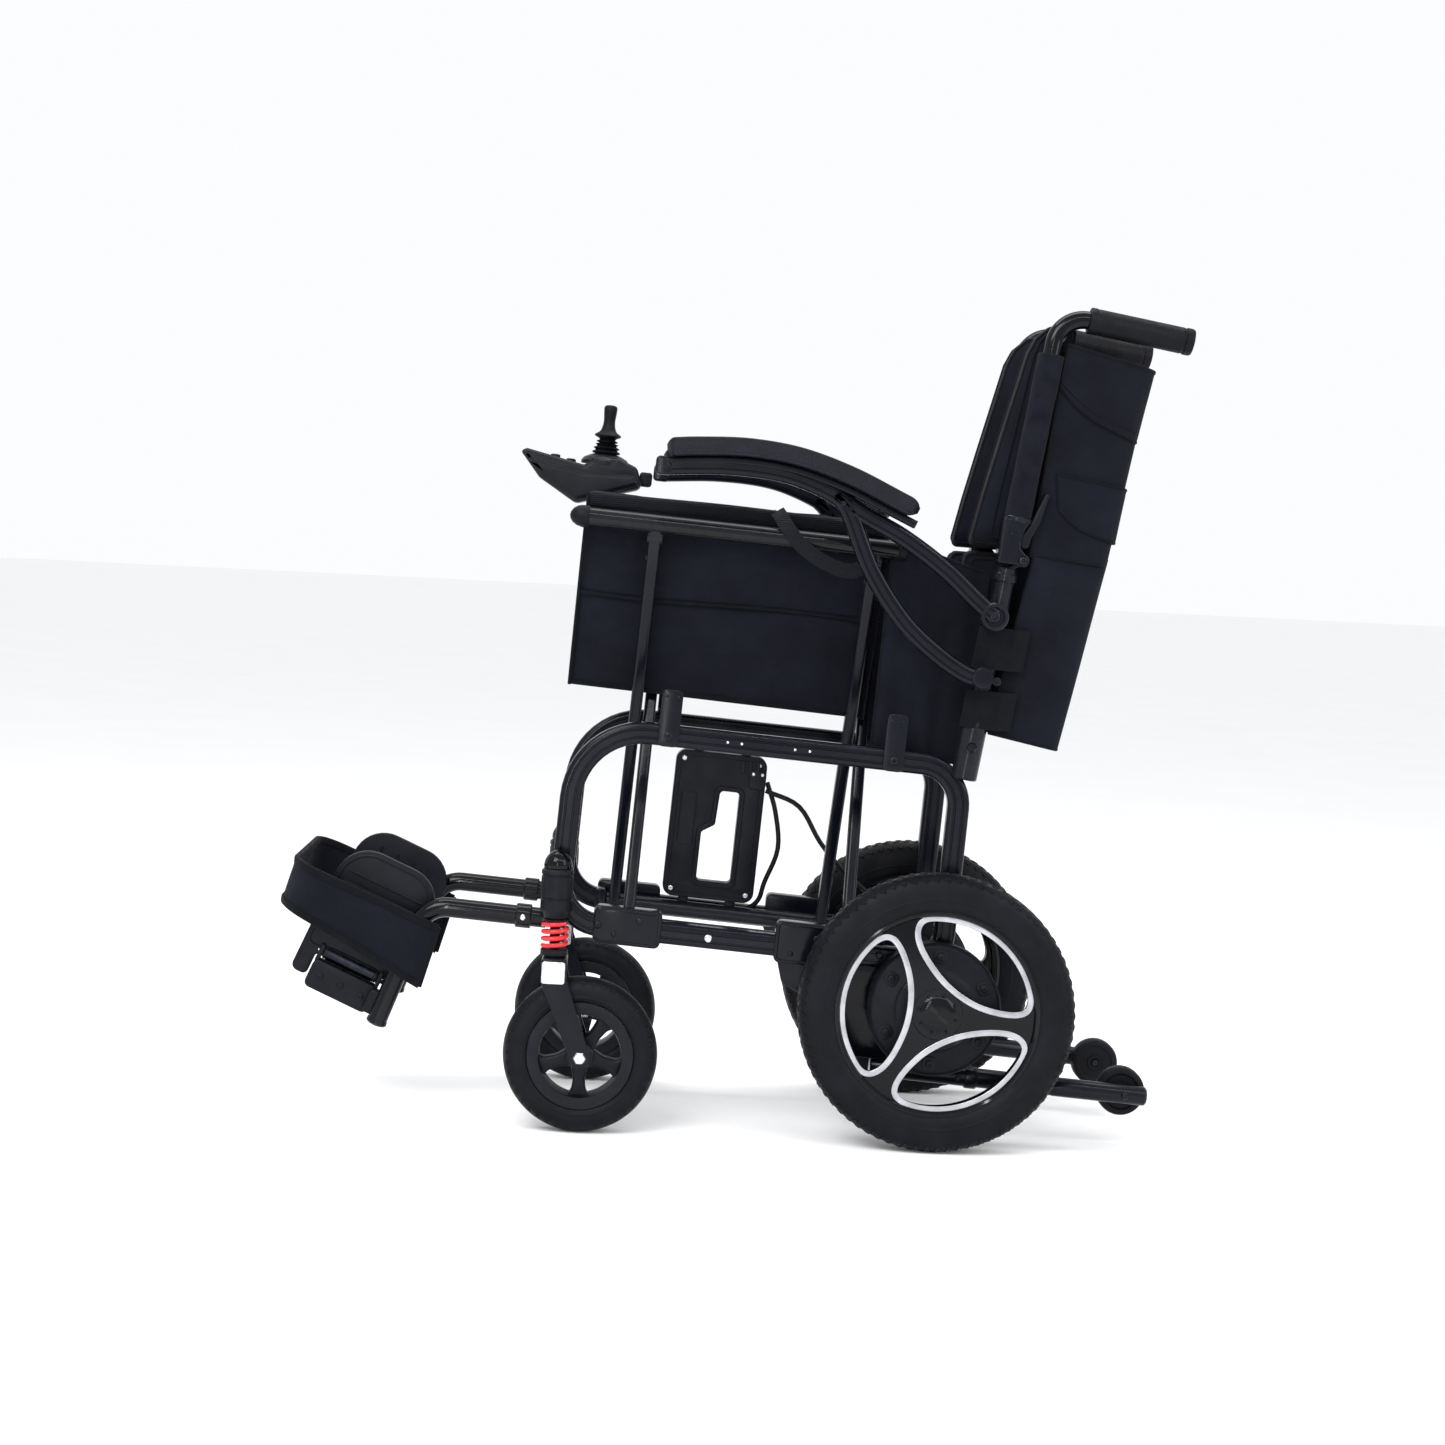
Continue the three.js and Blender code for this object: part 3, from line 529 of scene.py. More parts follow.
def side_frame(side):
    body = side + "_frame"
    corners = [(-6, FRAME_Y, RAIL_LOW), (438, FRAME_Y, RAIL_LOW), (438, FRAME_Y, RAIL_TOP),
               (-6, FRAME_Y, RAIL_TOP)]
    loop = fillet(corners, [34, 48, 82, 47], closed=True, steps=12)
    solids = [sweep(loop, extrusion(25, 20, 5, (-4.5, 4.5)), closed=True)]
    axle_plate = fillet([(-14, 45), (186, 45), (174, 6), (150, -4), (100, -68.5), (-24, -68.5), (-46, -30),
                         (-46, 20)], 9, closed=True)
    solids.append(plate(axle_plate, 107, 117, bevel=1.2))
    solids.append(rod((cane_a(262), CANE_Y, 262), (cane_a(330), CANE_Y, 330), 15, 1.6, 32))
    for a in RAIL_CLIPS:
        solids.append(block((a - 12, a + 12), (121, 125), (262, 328), 6, 1))
        solids.append(block((a - 12, a + 12), (103, 122), (286, 290.5), 2, 0.8))
        solids.append(bolt((a, 125, RAIL_TOP), 5, height=2.4))
    for rear, front, top in (318, 396, 73), (118, 187, 78):
        rim = fillet([(rear + 3, 33), (front - 3, 33), (front - 3, top - 3), (rear + 3, top - 3)], 5,
                     closed=True)
        solids.append(block((rear, front), (103, 124), (30, top), 7, 1.4))
        solids.append(sweep([(p[0], 124, p[1]) for p in rim], circle(1.3, 8), closed=True))
    for a in 391, 66:
        solids.append(block((a - 6, a + 6), (71, 103), (35, 66), 4, 1))
        solids.append(bolt((a, 124, 51), 4.5))
    piece("frame_" + side, solids, "lacquer", body, side, replaces=["side_frame_" + side])
    silver = [bolt((263.5, 122, RAIL_LOW), 4.4, height=1.6)]
    silver += [bolt((a, 122, RAIL_TOP), 1.7, height=1) for a in (265.7, 249.5, 188, 171)]
    piece("frame_screws_" + side, silver, "steel", body, side)
    dark = [bolt((a, y, h), r, height=1.6) for a, y, h, r in (
        (344, 124, 60, 3.6), (372, 124, 42, 3), (140, 124, 62, 3.6), (168, 124, 42, 3), (16, 117, -40, 4),
        (96, 117, -52, 4), (150, 117, 26, 4))]
    dark += [bolt((a + d, 125, 320), 1.8, height=1) for a in RAIL_CLIPS for d in (-6.5, 6.5)]
    dark.append(nut((cane_a(300), CANE_Y + 14, 300), 6, 4))
    piece("frame_bolts_" + side, dark, "dark_steel", body, side)


def motor(side):
    shell = [(117.3, 0), (117.3, 33), (122.6, 33), (122.6, 70), (124, 73), (127, 76), (132, 76), (133, 75),
             (135, 75), (136, 76), (145, 76), (148.5, 73.5), (150, 70), (150, 49), (151.5, 46), (156.5, 46),
             (158, 44), (158, 0)]
    solids = [lathe(shell, (0, 0, 0), sides=72)]
    solids += around(block((53, 69), (148, 151.2), (-8, 8), 5, 0.8), 6, start=30)
    solids += around(bolt((61, 151.2, 0), 4.4), 6, start=30)
    piece("motor_" + side + "_case", solids, "casting", side + "_frame", side, replaces=["motor_" + side])


# ---------- rear wheels ----------
def lug(size, top=0.7):
    """A tread block about the origin that narrows outwards."""
    x, y, z = np.asarray(size, float) / 2
    corners = [(-x, -y), (x, -y), (x, y), (-x, y)]
    verts = [(a, b, -z) for a, b in corners] + [(a * top, b * top, z) for a, b in corners]
    faces = [(3, 2, 1, 0), (4, 5, 6, 7)] + [(i, (i + 1) % 4, (i + 1) % 4 + 4, i + 4) for i in range(4)]
    return np.array(verts), faces


TYRE_Y, BAND_WIDTH = 157.0, 7.0


def band_line():
    """The middle of the bright band round one leaf-shaped window, square to the axle, from a towards h."""
    line = [*arc((0, 0), 107.8, -35, 45, 10), (64, 82), (54, 76.5), (44, 61.5), (37, 43.5), (31.8, 26),
            (30.6, -6), (37, -31), (45.5, -53.5), (56, -69.5), (69, -77), (80, -73.5)]
    line = smooth(line, 5, closed=True)
    for softening in range(4):
        line = sum(np.roll(line, k, 0) for k in (-2, -1, 0, 1, 2)) / 5
    return line


def inset(loop, distance):
    """The loop moved inwards; it runs from a towards h."""
    tangent = np.roll(loop, -1, 0) - np.roll(loop, 1, 0)
    tangent /= np.linalg.norm(tangent, axis=1)[:, None]
    return loop + distance * np.stack((-tangent[:, 1], tangent[:, 0]), 1)


def ray_span(loop, angle):
    """Where a ray from the origin enters and leaves the loop, or None."""
    c, s = math.cos(angle), math.sin(angle)
    along, across = loop @ (c, s), loop @ (-s, c)
    crossings = []
    for i in range(len(loop)):
        j = (i + 1) % len(loop)
        if (across[i] > 0) != (across[j] > 0):
            share = across[i] / (across[i] - across[j])
            reach = along[i] + share * (along[j] - along[i])
            if reach > 0:
                crossings.append(reach)
    return (min(crossings), max(crossings)) if len(crossings) >= 2 else None


def dome_y(radius):
    """The crowned outer face of the rear rim."""
    return 172.6 + 3.6 * (1 - (radius / 111.0) ** 2)


def rim_disc(columns=360, rings=6):
    """The crowned disc with its three windows, as two bands of quads that part at each window."""
    edge = inset(band_line(), 0.4 * BAND_WIDTH)
    loops = [turned((np.insert(edge, 1, 0, axis=1), []), 120 * i)[0][:, [0, 2]] for i in range(3)]
    angles = np.arange(columns) * 2 * math.pi / columns
    spans = [next((s for s in (ray_span(l, t) for l in loops) if s), None) for t in angles]
    middle = np.array([sum(s) / 2 if s else np.nan for s in spans])
    known = ~np.isnan(middle)
    middle = np.interp(angles, angles[known], middle[known], period=2 * math.pi)
    inner = np.array([s[0] if s else m for s, m in zip(spans, middle)])
    outer = np.array([s[1] if s else m for s, m in zip(spans, middle)])
    hub, rim = 28.0, 110.5
    t = np.linspace(0, 1, rings)[:, None]
    radii = [hub + (inner - hub) * t, outer + (rim - outer) * t]
    verts, faces = [], []
    for band in radii:
        for face_y in (dome_y, lambda r: 166.0 + 0 * r):
            faces += strip(rings, columns, first=len(verts) * columns)
            verts += [np.stack((r * np.cos(angles), face_y(r), r * np.sin(angles)), 1) for r in band]
    open_here = np.array([s is not None for s in spans])
    for front, back in ((rings - 1, 2 * rings - 1), (2 * rings, 3 * rings)):
        for j in range(columns):
            k = (j + 1) % columns
            if open_here[j] or open_here[k]:
                faces.append((front * columns + j, front * columns + k, back * columns + k,
                              back * columns + j))
    return np.vstack(verts), faces


def rear_wheel(side):
    body = "rear_wheel_" + side
    half = [(20, 116), (22.5, 119), (24, 124), (24.6, 131), (24.4, 138), (23.2, 145), (20.8, 150.4),
            (16, 154.3), (9, 156.1)]
    carcass = [(-y, r) for y, r in half] + [(0, 156.5)] + half[::-1]
    solids = [lathe([(TYRE_Y + y, r) for y, r in carcass], (0, 0, 0), sides=120, closed=True)]
    for y in (-24.4, 24.4):
        ridge = [(y, 128), (y * 1.022, 129), (y * 1.022, 130.6), (y, 131.6)]
        solids.append(lathe([(TYRE_Y + w, r) for w, r in ridge], (0, 0, 0), sides=96, closed=True))
    for y, reach, lean, roll, phase in ((-18.9, 151.4, 28, -38, 0), (-6, 155.5, -28, 0, 3),
                                        (6, 155.5, 28, 0, 0), (18.9, 151.4, -28, 38, 3)):
        tread = turned(turned(lug((8.2, 7.5, 3.0)), lean, axis="z"), -roll, axis="x")
        solids += around(shifted(tread, (0, TYRE_Y + y, reach)), 76, start=phase)
    piece("tyre_rear_" + side, solids, "tyre", body, side, replaces=["rear_tyre_" + side])

    barrel = [(137.5, 110), (137, 112), (137.6, 115.7), (139.5, 115.7), (141, 112.5), (173, 112.5),
              (175, 115.7), (177, 115.7), (177.6, 113.5), (176.6, 111), (173.4, 109.2), (166, 109.2),
              (166, 110)]
    hub = [(160, 0), (160, 22), (166, 22), (166, 29.5), (175.5, 29.5), (177, 28), (177, 21), (177.6, 20),
           (179, 18), (179.8, 12), (180, 0)]
    gloss = [rim_disc(), lathe(barrel, (0, 0, 0), sides=120, closed=True), lathe(hub, (0, 0, 0), sides=64)]
    piece("rim_rear_" + side, gloss, "gloss", body, side, replaces=["rear_rim_" + side], sharp=28)
    bands = []
    for i in range(3):
        path = [(a, dome_y(math.hypot(a, h)) + 0.3, h) for a, h in band_line()]
        bands.append(turned(sweep(path, rounded(BAND_WIDTH, 1.8, 0.8, 3), closed=True), 120 * i))
    piece("rim_bands_" + side, bands, "brushed", body, side)
    screws = around(bolt((22.4, 177.3, 0), 1.7, height=1.2, sides=12), 8, start=12)
    piece("hub_screws_" + side, screws, "dark_steel", body, side)


# ---------- casters, upright about the swivel axis ----------
def spring_path(turns=3.4, radius=13.6, low=209, high=236):
    t = np.linspace(0, turns * 2 * math.pi, int(turns * 22))
    return np.stack((radius * np.cos(t), CASTER_Y + radius * np.sin(t), low + (high - low) * t / t[-1]), 1)


def caster(side):
    body = side + "_frame"
    barrel = [(240.6, 9), (240.6, 13), (242, 14.4), (247, 15.6), (249, 17.6), (251, 18.3), (262, 18.3),
              (262.8, 17.5), (264.2, 17.5), (265, 18.3), (288, 18.3), (289, 17.4), (290.4, 17.4),
              (291.2, 18.3), (295, 18.3), (297, 16.2), (298, 0)]
    cap = [(297.5, 0), (297.5, 15.4), (299, 16.2), (303, 16), (307, 15), (311, 12.8), (314.6, 9.6),
           (317, 5.8), (318.4, 2), (318.5, 0)]
    middle = (0, CASTER_Y, 0)
    boss = block((-15, 15), (122.3, 136), (254, 290), 5, 1.6)
    piece("swivel_barrel_" + side, [lathe(barrel, middle, UP), boss], "plastic", body, side, upright,
          ["caster_barrel_" + side])
    piece("swivel_cap_" + side, [lathe(cap, middle, UP)], "gloss", body, side, upright)
    both = (body, "caster_strut_" + side, (0, CASTER_Y, 239), (0, CASTER_Y, 199))
    piece("coil_" + side, [sweep(spring_path(), circle(2.6, 12), up=UP)], "red", both, side, upright,
          ["caster_spring_" + side])
    seats = [lathe([(low, 6), (low, 14.6), (low + 1, 15.8), (high - 1.5, 15.8), (high, 14), (high, 6)],
                   middle,
                   UP, closed=True) for low, high in ((198.5, 206.5), (237.4, 240))]
    piece("spring_seats_" + side, seats, "plastic", both, side, upright)
    stem = [(198.4, 0), (198.4, 7.4), (201, 7.4), (202, 6), (236, 6), (239.6, 7.6), (239.6, 0)]
    piece("stem_" + side, [lathe(stem, middle, UP, 32)], "dark_steel", both, side, upright)

    fork = "caster_fork_" + side
    leg = [(-15, 194), (-16, 178), *arc((-CASTER_TRAIL, CASTER_R), 12.5, 180, 360, 14), (12.6, 171),
           (12.6, 190)]
    solids = [block((-16, 13), (CASTER_Y - 27.6, CASTER_Y + 27.6), (188, 197.6), 3, 1.4)]
    for low in (-28, 23):
        solids.append(plate(fillet(leg, 3, closed=True, steps=3), CASTER_Y + low, CASTER_Y + low + 5,
                            bevel=1.2))
    solids.append(rod((-CASTER_TRAIL, CASTER_Y - 29, CASTER_R), (-CASTER_TRAIL, CASTER_Y + 29, CASTER_R),
                      5))
    solids.append(lathe([(186, 0), (186, 12), (188, 12), (198, 12), (198, 0)], middle, UP, 32))
    piece("fork_" + side, solids, "lacquer", fork, side, upright, ["caster_fork_" + side])
    clip = [block((-14, 12.4), (CASTER_Y + low, CASTER_Y + low + 1.6), (170, 195), 3, 0.6)
            for low in (27.6, -29.2)]
    clip += [nut((-CASTER_TRAIL, CASTER_Y + 28 * out, CASTER_R), 7.4, 5, (0, out, 0)) for out in (1, -1)]
    piece("fork_steel_" + side, clip, "steel", fork, side, upright)
    caster_wheel(side)


def caster_wheel(side):
    body = "caster_wheel_" + side
    hub = (-CASTER_TRAIL, CASTER_Y, CASTER_R)
    half = [(15.6, 60.8), (18, 63), (19.4, 67), (19.9, 72), (19, 77.6), (16.4, 82), (12, 85.4), (6, 87.5)]
    profile = [(-y, r) for y, r in half] + [(0, 88)] + half[::-1]
    solids = [lathe(profile, hub, sides=120, closed=True)]
    for y in (-19.6, 19.6):
        ridge = [(y, 65.5), (y * 1.018, 66.2), (y * 1.018, 67.6), (y, 68.3)]
        solids.append(lathe(ridge, hub, sides=96, closed=True))
    for y in (-16.2, 16.2):
        rib = shifted(lug((3.4, 4.6, 7.0), 0.8), (-CASTER_TRAIL, CASTER_Y + y, CASTER_R + 80.4))
        solids += around(rib, 44, (-CASTER_TRAIL, CASTER_R))
    piece("tyre_caster_" + side, solids, "tyre", body, side, upright, ["caster_tyre_" + side])
    barrel = [(-17, 47.6), (-17.6, 50), (-17, 60.2), (-13, 58), (13, 58), (17, 60.2), (17.6, 50),
              (17, 47.6), (14, 46.6), (-14, 46.6)]
    core = [(-19, 6), (-19, 12.4), (-17.4, 15), (17.4, 15), (19, 12.4), (19, 6)]
    solids = [lathe(barrel, hub, sides=96, closed=True), lathe(core, hub, sides=40, closed=True)]
    spoke = [(12, -8.6), (26, -7), (40, -8.4), (48.5, -12.4), (48.5, 12.4), (40, 8.4), (26, 7), (12, 8.6)]
    blade = shifted(plate(smooth(spoke, 4, closed=True), -8.4, 8.4, bevel=3.4), hub)
    solids += around(blade, 5, (-CASTER_TRAIL, CASTER_R), start=-18)
    piece("rim_caster_" + side, solids, "plastic", body, side, upright, ["caster_rim_" + side])


TIP_A, TIP_H = -233.0, -80.0


def antitip(side):
    body = side + "_frame"
    tube = [(-259, 0), (-259, 8.6), (-257, 10.6), (-254, 11), (-150, 11), (-149, 10.5), (-147, 10.5),
            (-146, 11), (60, 11), (62, 9.6), (62, 0)]
    solids = [lathe(tube, (0, 104, TIP_H), FORWARD, 32)]
    solids += [collar((a, 104, TIP_H), FORWARD, 13.5, 10, 13, 1.5) for a in (-62, 30)]
    solids.append(rod((TIP_A, 70, TIP_H), (TIP_A, 104, TIP_H), 4))
    piece("tip_tube_" + side, solids, "lacquer", body, side, replaces=["antitip_tube_" + side])
    screws = [bolt((TIP_A, 114.6, TIP_H), 4.4, height=2.4), bolt((-40, 115, TIP_H), 3, height=2)]
    piece("tip_screws_" + side, screws, "dark_steel", body, side)
    wheel = [(72.4, 5), (72, 9), (73.4, 10), (73.4, 19), (72, 21), (72, 24.4), (73.4, 26.8), (77, 28),
             (87, 28), (90.6, 26.8), (92, 24.4), (92, 21), (90.6, 19), (90.6, 10), (92, 9), (91.6, 5)]
    piece("tip_wheel_" + side, [lathe(wheel, (TIP_A, 0, TIP_H), sides=56, closed=True)], "tyre",
          "antitip_wheel_" + side, side, replaces=["antitip_wheel_" + side])


# ---------- footrests ----------
def at_hinge(shapes):
    """Shapes drawn about the footplate's hinge, level with the plate, moved to the chassis."""
    return shifted(turned(merged(shapes), FOOT_TILT), (FOOT_HINGE[0], 0, FOOT_HINGE[1]))


def footrest(side):
    body = side + "_frame"
    path = fillet([(450.8, FRAME_Y, 50), (590, FRAME_Y, 50), (632, FRAME_Y, -90)], 36, steps=12)
    solids = [sweep(path, circle(11.3, 28)), collar((468, FRAME_Y, 50), FORWARD, 18, 10, 14, 1.2, 1.4, 36)]
    down = (path[-1] - path[-2]) / np.linalg.norm(path[-1] - path[-2])
    plug = [(-4, 0), (-4, 12), (0, 12.4), (2, 10.6), (3, 7), (3.2, 0)]
    solids.append(lathe(plug, path[-1] + down * 0.5, down, 28))
    piece("foot_tube_" + side, solids, "gloss", body, side, replaces=["footrest_tube_" + side])
    hinge = [block((-60, -34), (96, 112), (-40, -12), 5, 1.4),
             block((-40, 40), (84, 104), (-44, -10), 7, 2),
             block((-40, -35), (84, 101), (-14, 8), 4, 0.8), block((35, 40), (84, 101), (-14, 8), 4, 0.8)]
    hinge += [bolt((p, 104, -27), 4, height=2) for p in (-26, 0, 26)]
    piece("foot_hinge_" + side, [at_hinge(hinge)], "plastic", body, side)
    pin = [bolt((477, FRAME_Y + 14, 50), 3.4, height=1.6)]
    pin.append(at_hinge([bolt((40.2 * out, 92, 0), 4.4, (out, 0, 0), 2.4) for out in (-1, 1)]))
    piece("foot_pins_" + side, pin, "steel", body, side)
    board = fillet([(-60, 2), (-42, -6), (42, -6), (42, -34), (62, -34), (62, 130), (-60, 130)],
                   [6, 4, 4, 6, 8, 40, 40], closed=True, steps=9)
    rim = fillet([(-55, 7), (-42, 2), (57, 2), (57, 125), (-55, 125)], [6, 4, 8, 36, 36],
                 closed=True, steps=9)
    solids = [plate(board, 88, 96, bevel=1.6), rod((-34, 92, 0), (34, 92, 0), 8.5, 1, 32)]
    solids.append(sweep([(p[0], 96, p[1]) for p in rim], rounded(3.2, 3, 1.2), closed=True))
    solids += [block((-46, 50), (95, 97.4), (h, h + 3.4), 1.5, 0.7) for h in (26, 40, 54, 68, 82, 96)]
    solids += [block((p, p + 3), (86, 88.5), (14, 112), 1.4, 0.7) for p in (-34, -12, 10, 32)]
    piece("foot_board_" + side, [at_hinge(solids)], "plastic", "footplate_" + side, side,
          replaces=["footplate_" + side])
    piece("foot_roll_" + side, [at_hinge([rod((-30, 92, 0), (30, 92, 0), 8.9, 0.8, 32)])], "dark_steel",
          "footplate_" + side, side)


# ---------- back canes ----------
FOLD = (-46.4, 518.4)
ARM_PIVOT, ARM_REST = (-18.0, 451.5), (-12.0, 381.0)
CANE_TOP, GRIP_END = (-59.8, 804.7), (-206.0, 789.7)
SLEEVE_LENGTH = 192.0


def on_cane(h, y=CANE_Y):
    return cane_a(h), y, h


def canes(side):
    body, upper = side + "_frame", "upper_cane_" + side
    lean = np.subtract(on_cane(500), on_cane(400))
    solids = [rod(on_cane(331.3), on_cane(508.5), 11, 1, 32)]
    ear = [(-34, 500), (-40, 509), *arc(FOLD, 8, 200, 20, 10), (-36, 512), (-26, 506)]
    solids.append(plate(fillet(ear, 1.5, closed=True, steps=3), 111, 125, bevel=1))
    pivot = (ARM_PIVOT[0], CANE_Y, ARM_PIVOT[1])
    solids.append(lathe([(0, 0), (0, 12), (3, 12), (12, 9), (19.7, 9), (19.7, 0)], pivot, sides=32))
    solids.append(rod((-31, CANE_Y, 378), (-31, 137, 378), 5))
    solids += [collar(on_cane(h), lean, 10, 10.5, 13.4) for h in (336, 492)]
    piece("cane_low_" + side, solids, "lacquer", body, side, replaces=["lower_cane_" + side])

    corners = [on_cane(530), (CANE_TOP[0], CANE_Y, CANE_TOP[1]), (GRIP_END[0], CANE_Y, GRIP_END[1])]
    bend = fillet(corners, 34, steps=14)
    piece("cane_tube_" + side, [sweep(bend, circle(10.5, 28))], "gloss", upper, side,
          replaces=["upper_cane_" + side])
    waves = [(np.clip(SLEEVE_LENGTH * s, 0.8, SLEEVE_LENGTH - 0.8), 15 + 0.2 * math.sin(17 * s))
             for s in np.linspace(0, 1, 25)]
    sleeve = [(0, 11), (0, 14.2), *waves, (SLEEVE_LENGTH, 14.2), (SLEEVE_LENGTH, 11)]
    piece("cane_foam_" + side, [lathe(sleeve, on_cane(566), lean, 40)], "foam", upper, side)
    bracket = [(-17, 513), (-36, 513), *arc(FOLD, 8, 250, 110, 8), (-43, 532), (-42, 541), (-45, 553),
               (-52, 566), (-20, 566)]
    solids = [plate(fillet(bracket, 2.5, closed=True, steps=3), 104, 132, bevel=2.2)]
    solids.append(collar(on_cane(562), lean, 6, 11, 16.4, sides=40))
    piece("fold_bracket_" + side, solids, "lacquer", upper, side)
    screws = [bolt((FOLD[0], 132, FOLD[1]), 5.4, height=3), bolt((-31, 132, 548), 2, height=1.2),
              bolt((-38, 132, 551), 1.6, height=1)]
    piece("fold_screws_" + side, screws, "dark_steel", upper, side)
    lever = fillet([(-45, 531), (-39, 541), (-52, 562), (-66, 599), (-71, 598), (-64, 566), (-55, 545),
                    (-53, 534)],
                   3, closed=True, steps=4)
    piece("fold_lever_" + side, [plate(lever, 113, 123, bevel=2.2)], "plastic", "release_lever_" + side,
          side,
          replaces=["release_lever_" + side])
    grip(side)


def grip(side):
    along = np.subtract(GRIP_END, CANE_TOP)
    along /= np.linalg.norm(along)
    ribs = [(0, 10.6), (0, 14.4), (1, 15.4), (7, 15.6), (8, 15)]
    for k in range(33):
        t = 10 + 3 * k
        ribs += [(t, 15.05), (t + 0.5, 15.3), (t + 1.9, 15.3), (t + 2.4, 15.05)]
    ribs += [(110, 15), (110.6, 14.6), (112, 14.6), (112.6, 15.7), (119, 15.7), (121.4, 14.6), (122, 12),
             (122, 0)]
    piece("grip_cover_" + side, [lathe(ribs, (-93.5, CANE_Y, 801.25), (along[0], 0, along[1]), 40)],
          "rubber",
          "upper_cane_" + side, side, replaces=["grip_" + side])


# ---------- slings: the frame half of each follows the chair's side, the far half its middle ----------
def sling_rear(h):
    return cane_a(h) - 112 + (0.06 * (560 - h) if h < 560 else 0)


def wrapped(edges, plan, rows, ease=lambda share, s: 0.0):
    """A sheet whose rows run along the plan path of (share, y) between a near and a far edge."""
    (near_low, near_high), (far_low, far_high) = edges
    grid = []
    for r in np.linspace(0, 1, rows):
        near = np.asarray(near_low) * (1 - r) + np.asarray(near_high) * r
        far = np.asarray(far_low) * (1 - r) + np.asarray(far_high) * r
        row = []
        for k, (s, y) in enumerate(plan):
            a, h = near * (1 - s) + far * s
            row.append((a, y + ease(r, k / (len(plan) - 1)), h))
        grid.append(row)
    return np.array(grid)


def corner_plan(length, y, radius=12, near=12, far=14, lead=0):
    """Along the chair's side for the length, round a corner, and in to the middle plane.
    The near end starts that lead further in."""
    turn = fillet([(0, y - lead), (length, y), (length, 0.3)], radius, steps=8)
    first = np.linspace(turn[0], turn[1], near)
    last = np.linspace(turn[-2], turn[-1], far)
    plan = np.vstack((first, turn[2:-2], last))
    return [(s / length, w) for s, w in plan]


def slack(depth, waves=2.0, phase=0.0):
    """Soft folds across a sheet, none at its ends."""
    def ease(r, s):
        hollow = 0.6 * math.sin(math.pi * min(1, 2 * s))
        fold = 0.4 * math.sin(waves * math.pi * r + 5 * s + phase) * math.sin(math.pi * s)
        return -depth * math.sin(math.pi * r) * (hollow + fold)
    return ease


def lifted_corner(grid, lift):
    """The grid with its lower front corner rounded off."""
    rows, columns = grid.shape[:2]
    near = np.clip(1 - np.arange(columns) / 7, 0, None) ** 2
    low = 1 - np.arange(rows) / (rows - 1)
    return grid + lift * np.multiply.outer(np.outer(low, near), UP)


def edge_roll(row, height=5.0, thick=4.6, up=UP):
    return sweep(row, rounded(thick, height, 1.8, 3), up=up)


def back_sling(side):
    upper = ("upper_cane_" + side, "back_upper_" + side, (-76, CANE_Y, 650), (-160, 30, 650))
    lower = (side + "_frame", "back_lower_" + side, (-40, CANE_Y, 420), (-128, 30, 420))
    rear = sling_rear
    edges = (((-57, 524), (-73, 770)), ((rear(524) - 2, 522), (rear(766) - 5, 748)))
    grid = wrapped(edges, corner_plan(95, CANE_Y + 1.5, lead=9), 26, slack(3.0))
    sheet = piece("sling_upper_" + side, [cloth(grid, 3)], "nylon", upper, side,
                  replaces=["back_upper_" + side])
    hems = [edge_roll(grid[-1]), edge_roll(grid[0] + (0, 0.5, 1.5), 4, 4)]
    hems.append(edge_roll(grid[:, 0], 4, 4, FORWARD))
    hem = piece("sling_upper_hem_" + side, hems, "hem", upper, side)

    outer = corner_plan(95, CANE_Y + 4.6, lead=9)
    edges = (((-70, 704), (-74, 771)), ((rear(669) - 5, 668), (rear(766) - 8, 750)))
    flap = lifted_corner(wrapped(edges, outer, 14, slack(1.2, 3, 1)), 18)
    cover = piece("sling_flap_" + side, [cloth(flap, 2)], "nylon", upper, side)
    rolls = [edge_roll(flap[0], 4, 3.4), edge_roll(flap[1] + (0, 0.6, 2), 2, 2.4),
             edge_roll(flap[-1], 5, 4),
             edge_roll(flap[:, 0], 3.4, 3, FORWARD)]
    hem = piece("sling_flap_hem_" + side, rolls, "hem", upper, side)

    edges = (((-84, 567), (-78, 622)), ((rear(551) - 5, 550), (rear(613) - 5, 612)))
    pocket = lifted_corner(wrapped(edges, outer, 12, slack(0.8, 2, 2)), 15)
    band = piece("sling_pocket_" + side, [cloth(pocket, 2)], "nylon", upper, side)
    rolls = [edge_roll(pocket[0], 3.4, 3), edge_roll(pocket[-1], 4, 3.6),
             edge_roll(pocket[:, 0], 3.4, 3, FORWARD)]
    hem = piece("sling_pocket_hem_" + side, rolls, "hem", upper, side)

    edges = (((cane_a(316) - 18, 318), (-62, 528)), ((rear(316) - 2, 307), (rear(544.5) - 1, 531)))
    grid = wrapped(edges, corner_plan(95, CANE_Y - 2, lead=4), 24, slack(3.5, 1.5, 0.6))
    sheet = piece("sling_lower_" + side, [cloth(grid, 3)], "nylon", lower, side,
                  replaces=["back_lower_" + side])
    rolls = [edge_roll(grid[0], 4.4, 4), edge_roll(grid[:, 0], 4, 3.6, FORWARD)]
    hem = piece("sling_lower_hem_" + side, rolls, "hem", lower, side)

    loop = fillet([(16, -15), (16, 15), (-24, 12), (-40, 3), (-40, -3), (-24, -12)], [11, 11, 9, 2, 2, 9],
                  closed=True)
    lean = np.subtract(on_cane(500), on_cane(400))
    for k, (h, tall) in enumerate(((415, 48), (344, 44))):
        path = [np.array(on_cane(h)) + (p[0], p[1], 0) for p in loop]
        wrap = sweep(path, rounded(2.2, tall, 0.9, 2), up=lean, closed=True)
        strap = piece(f"cane_strap_{k}_" + side, [wrap], "hem", side + "_frame", side)


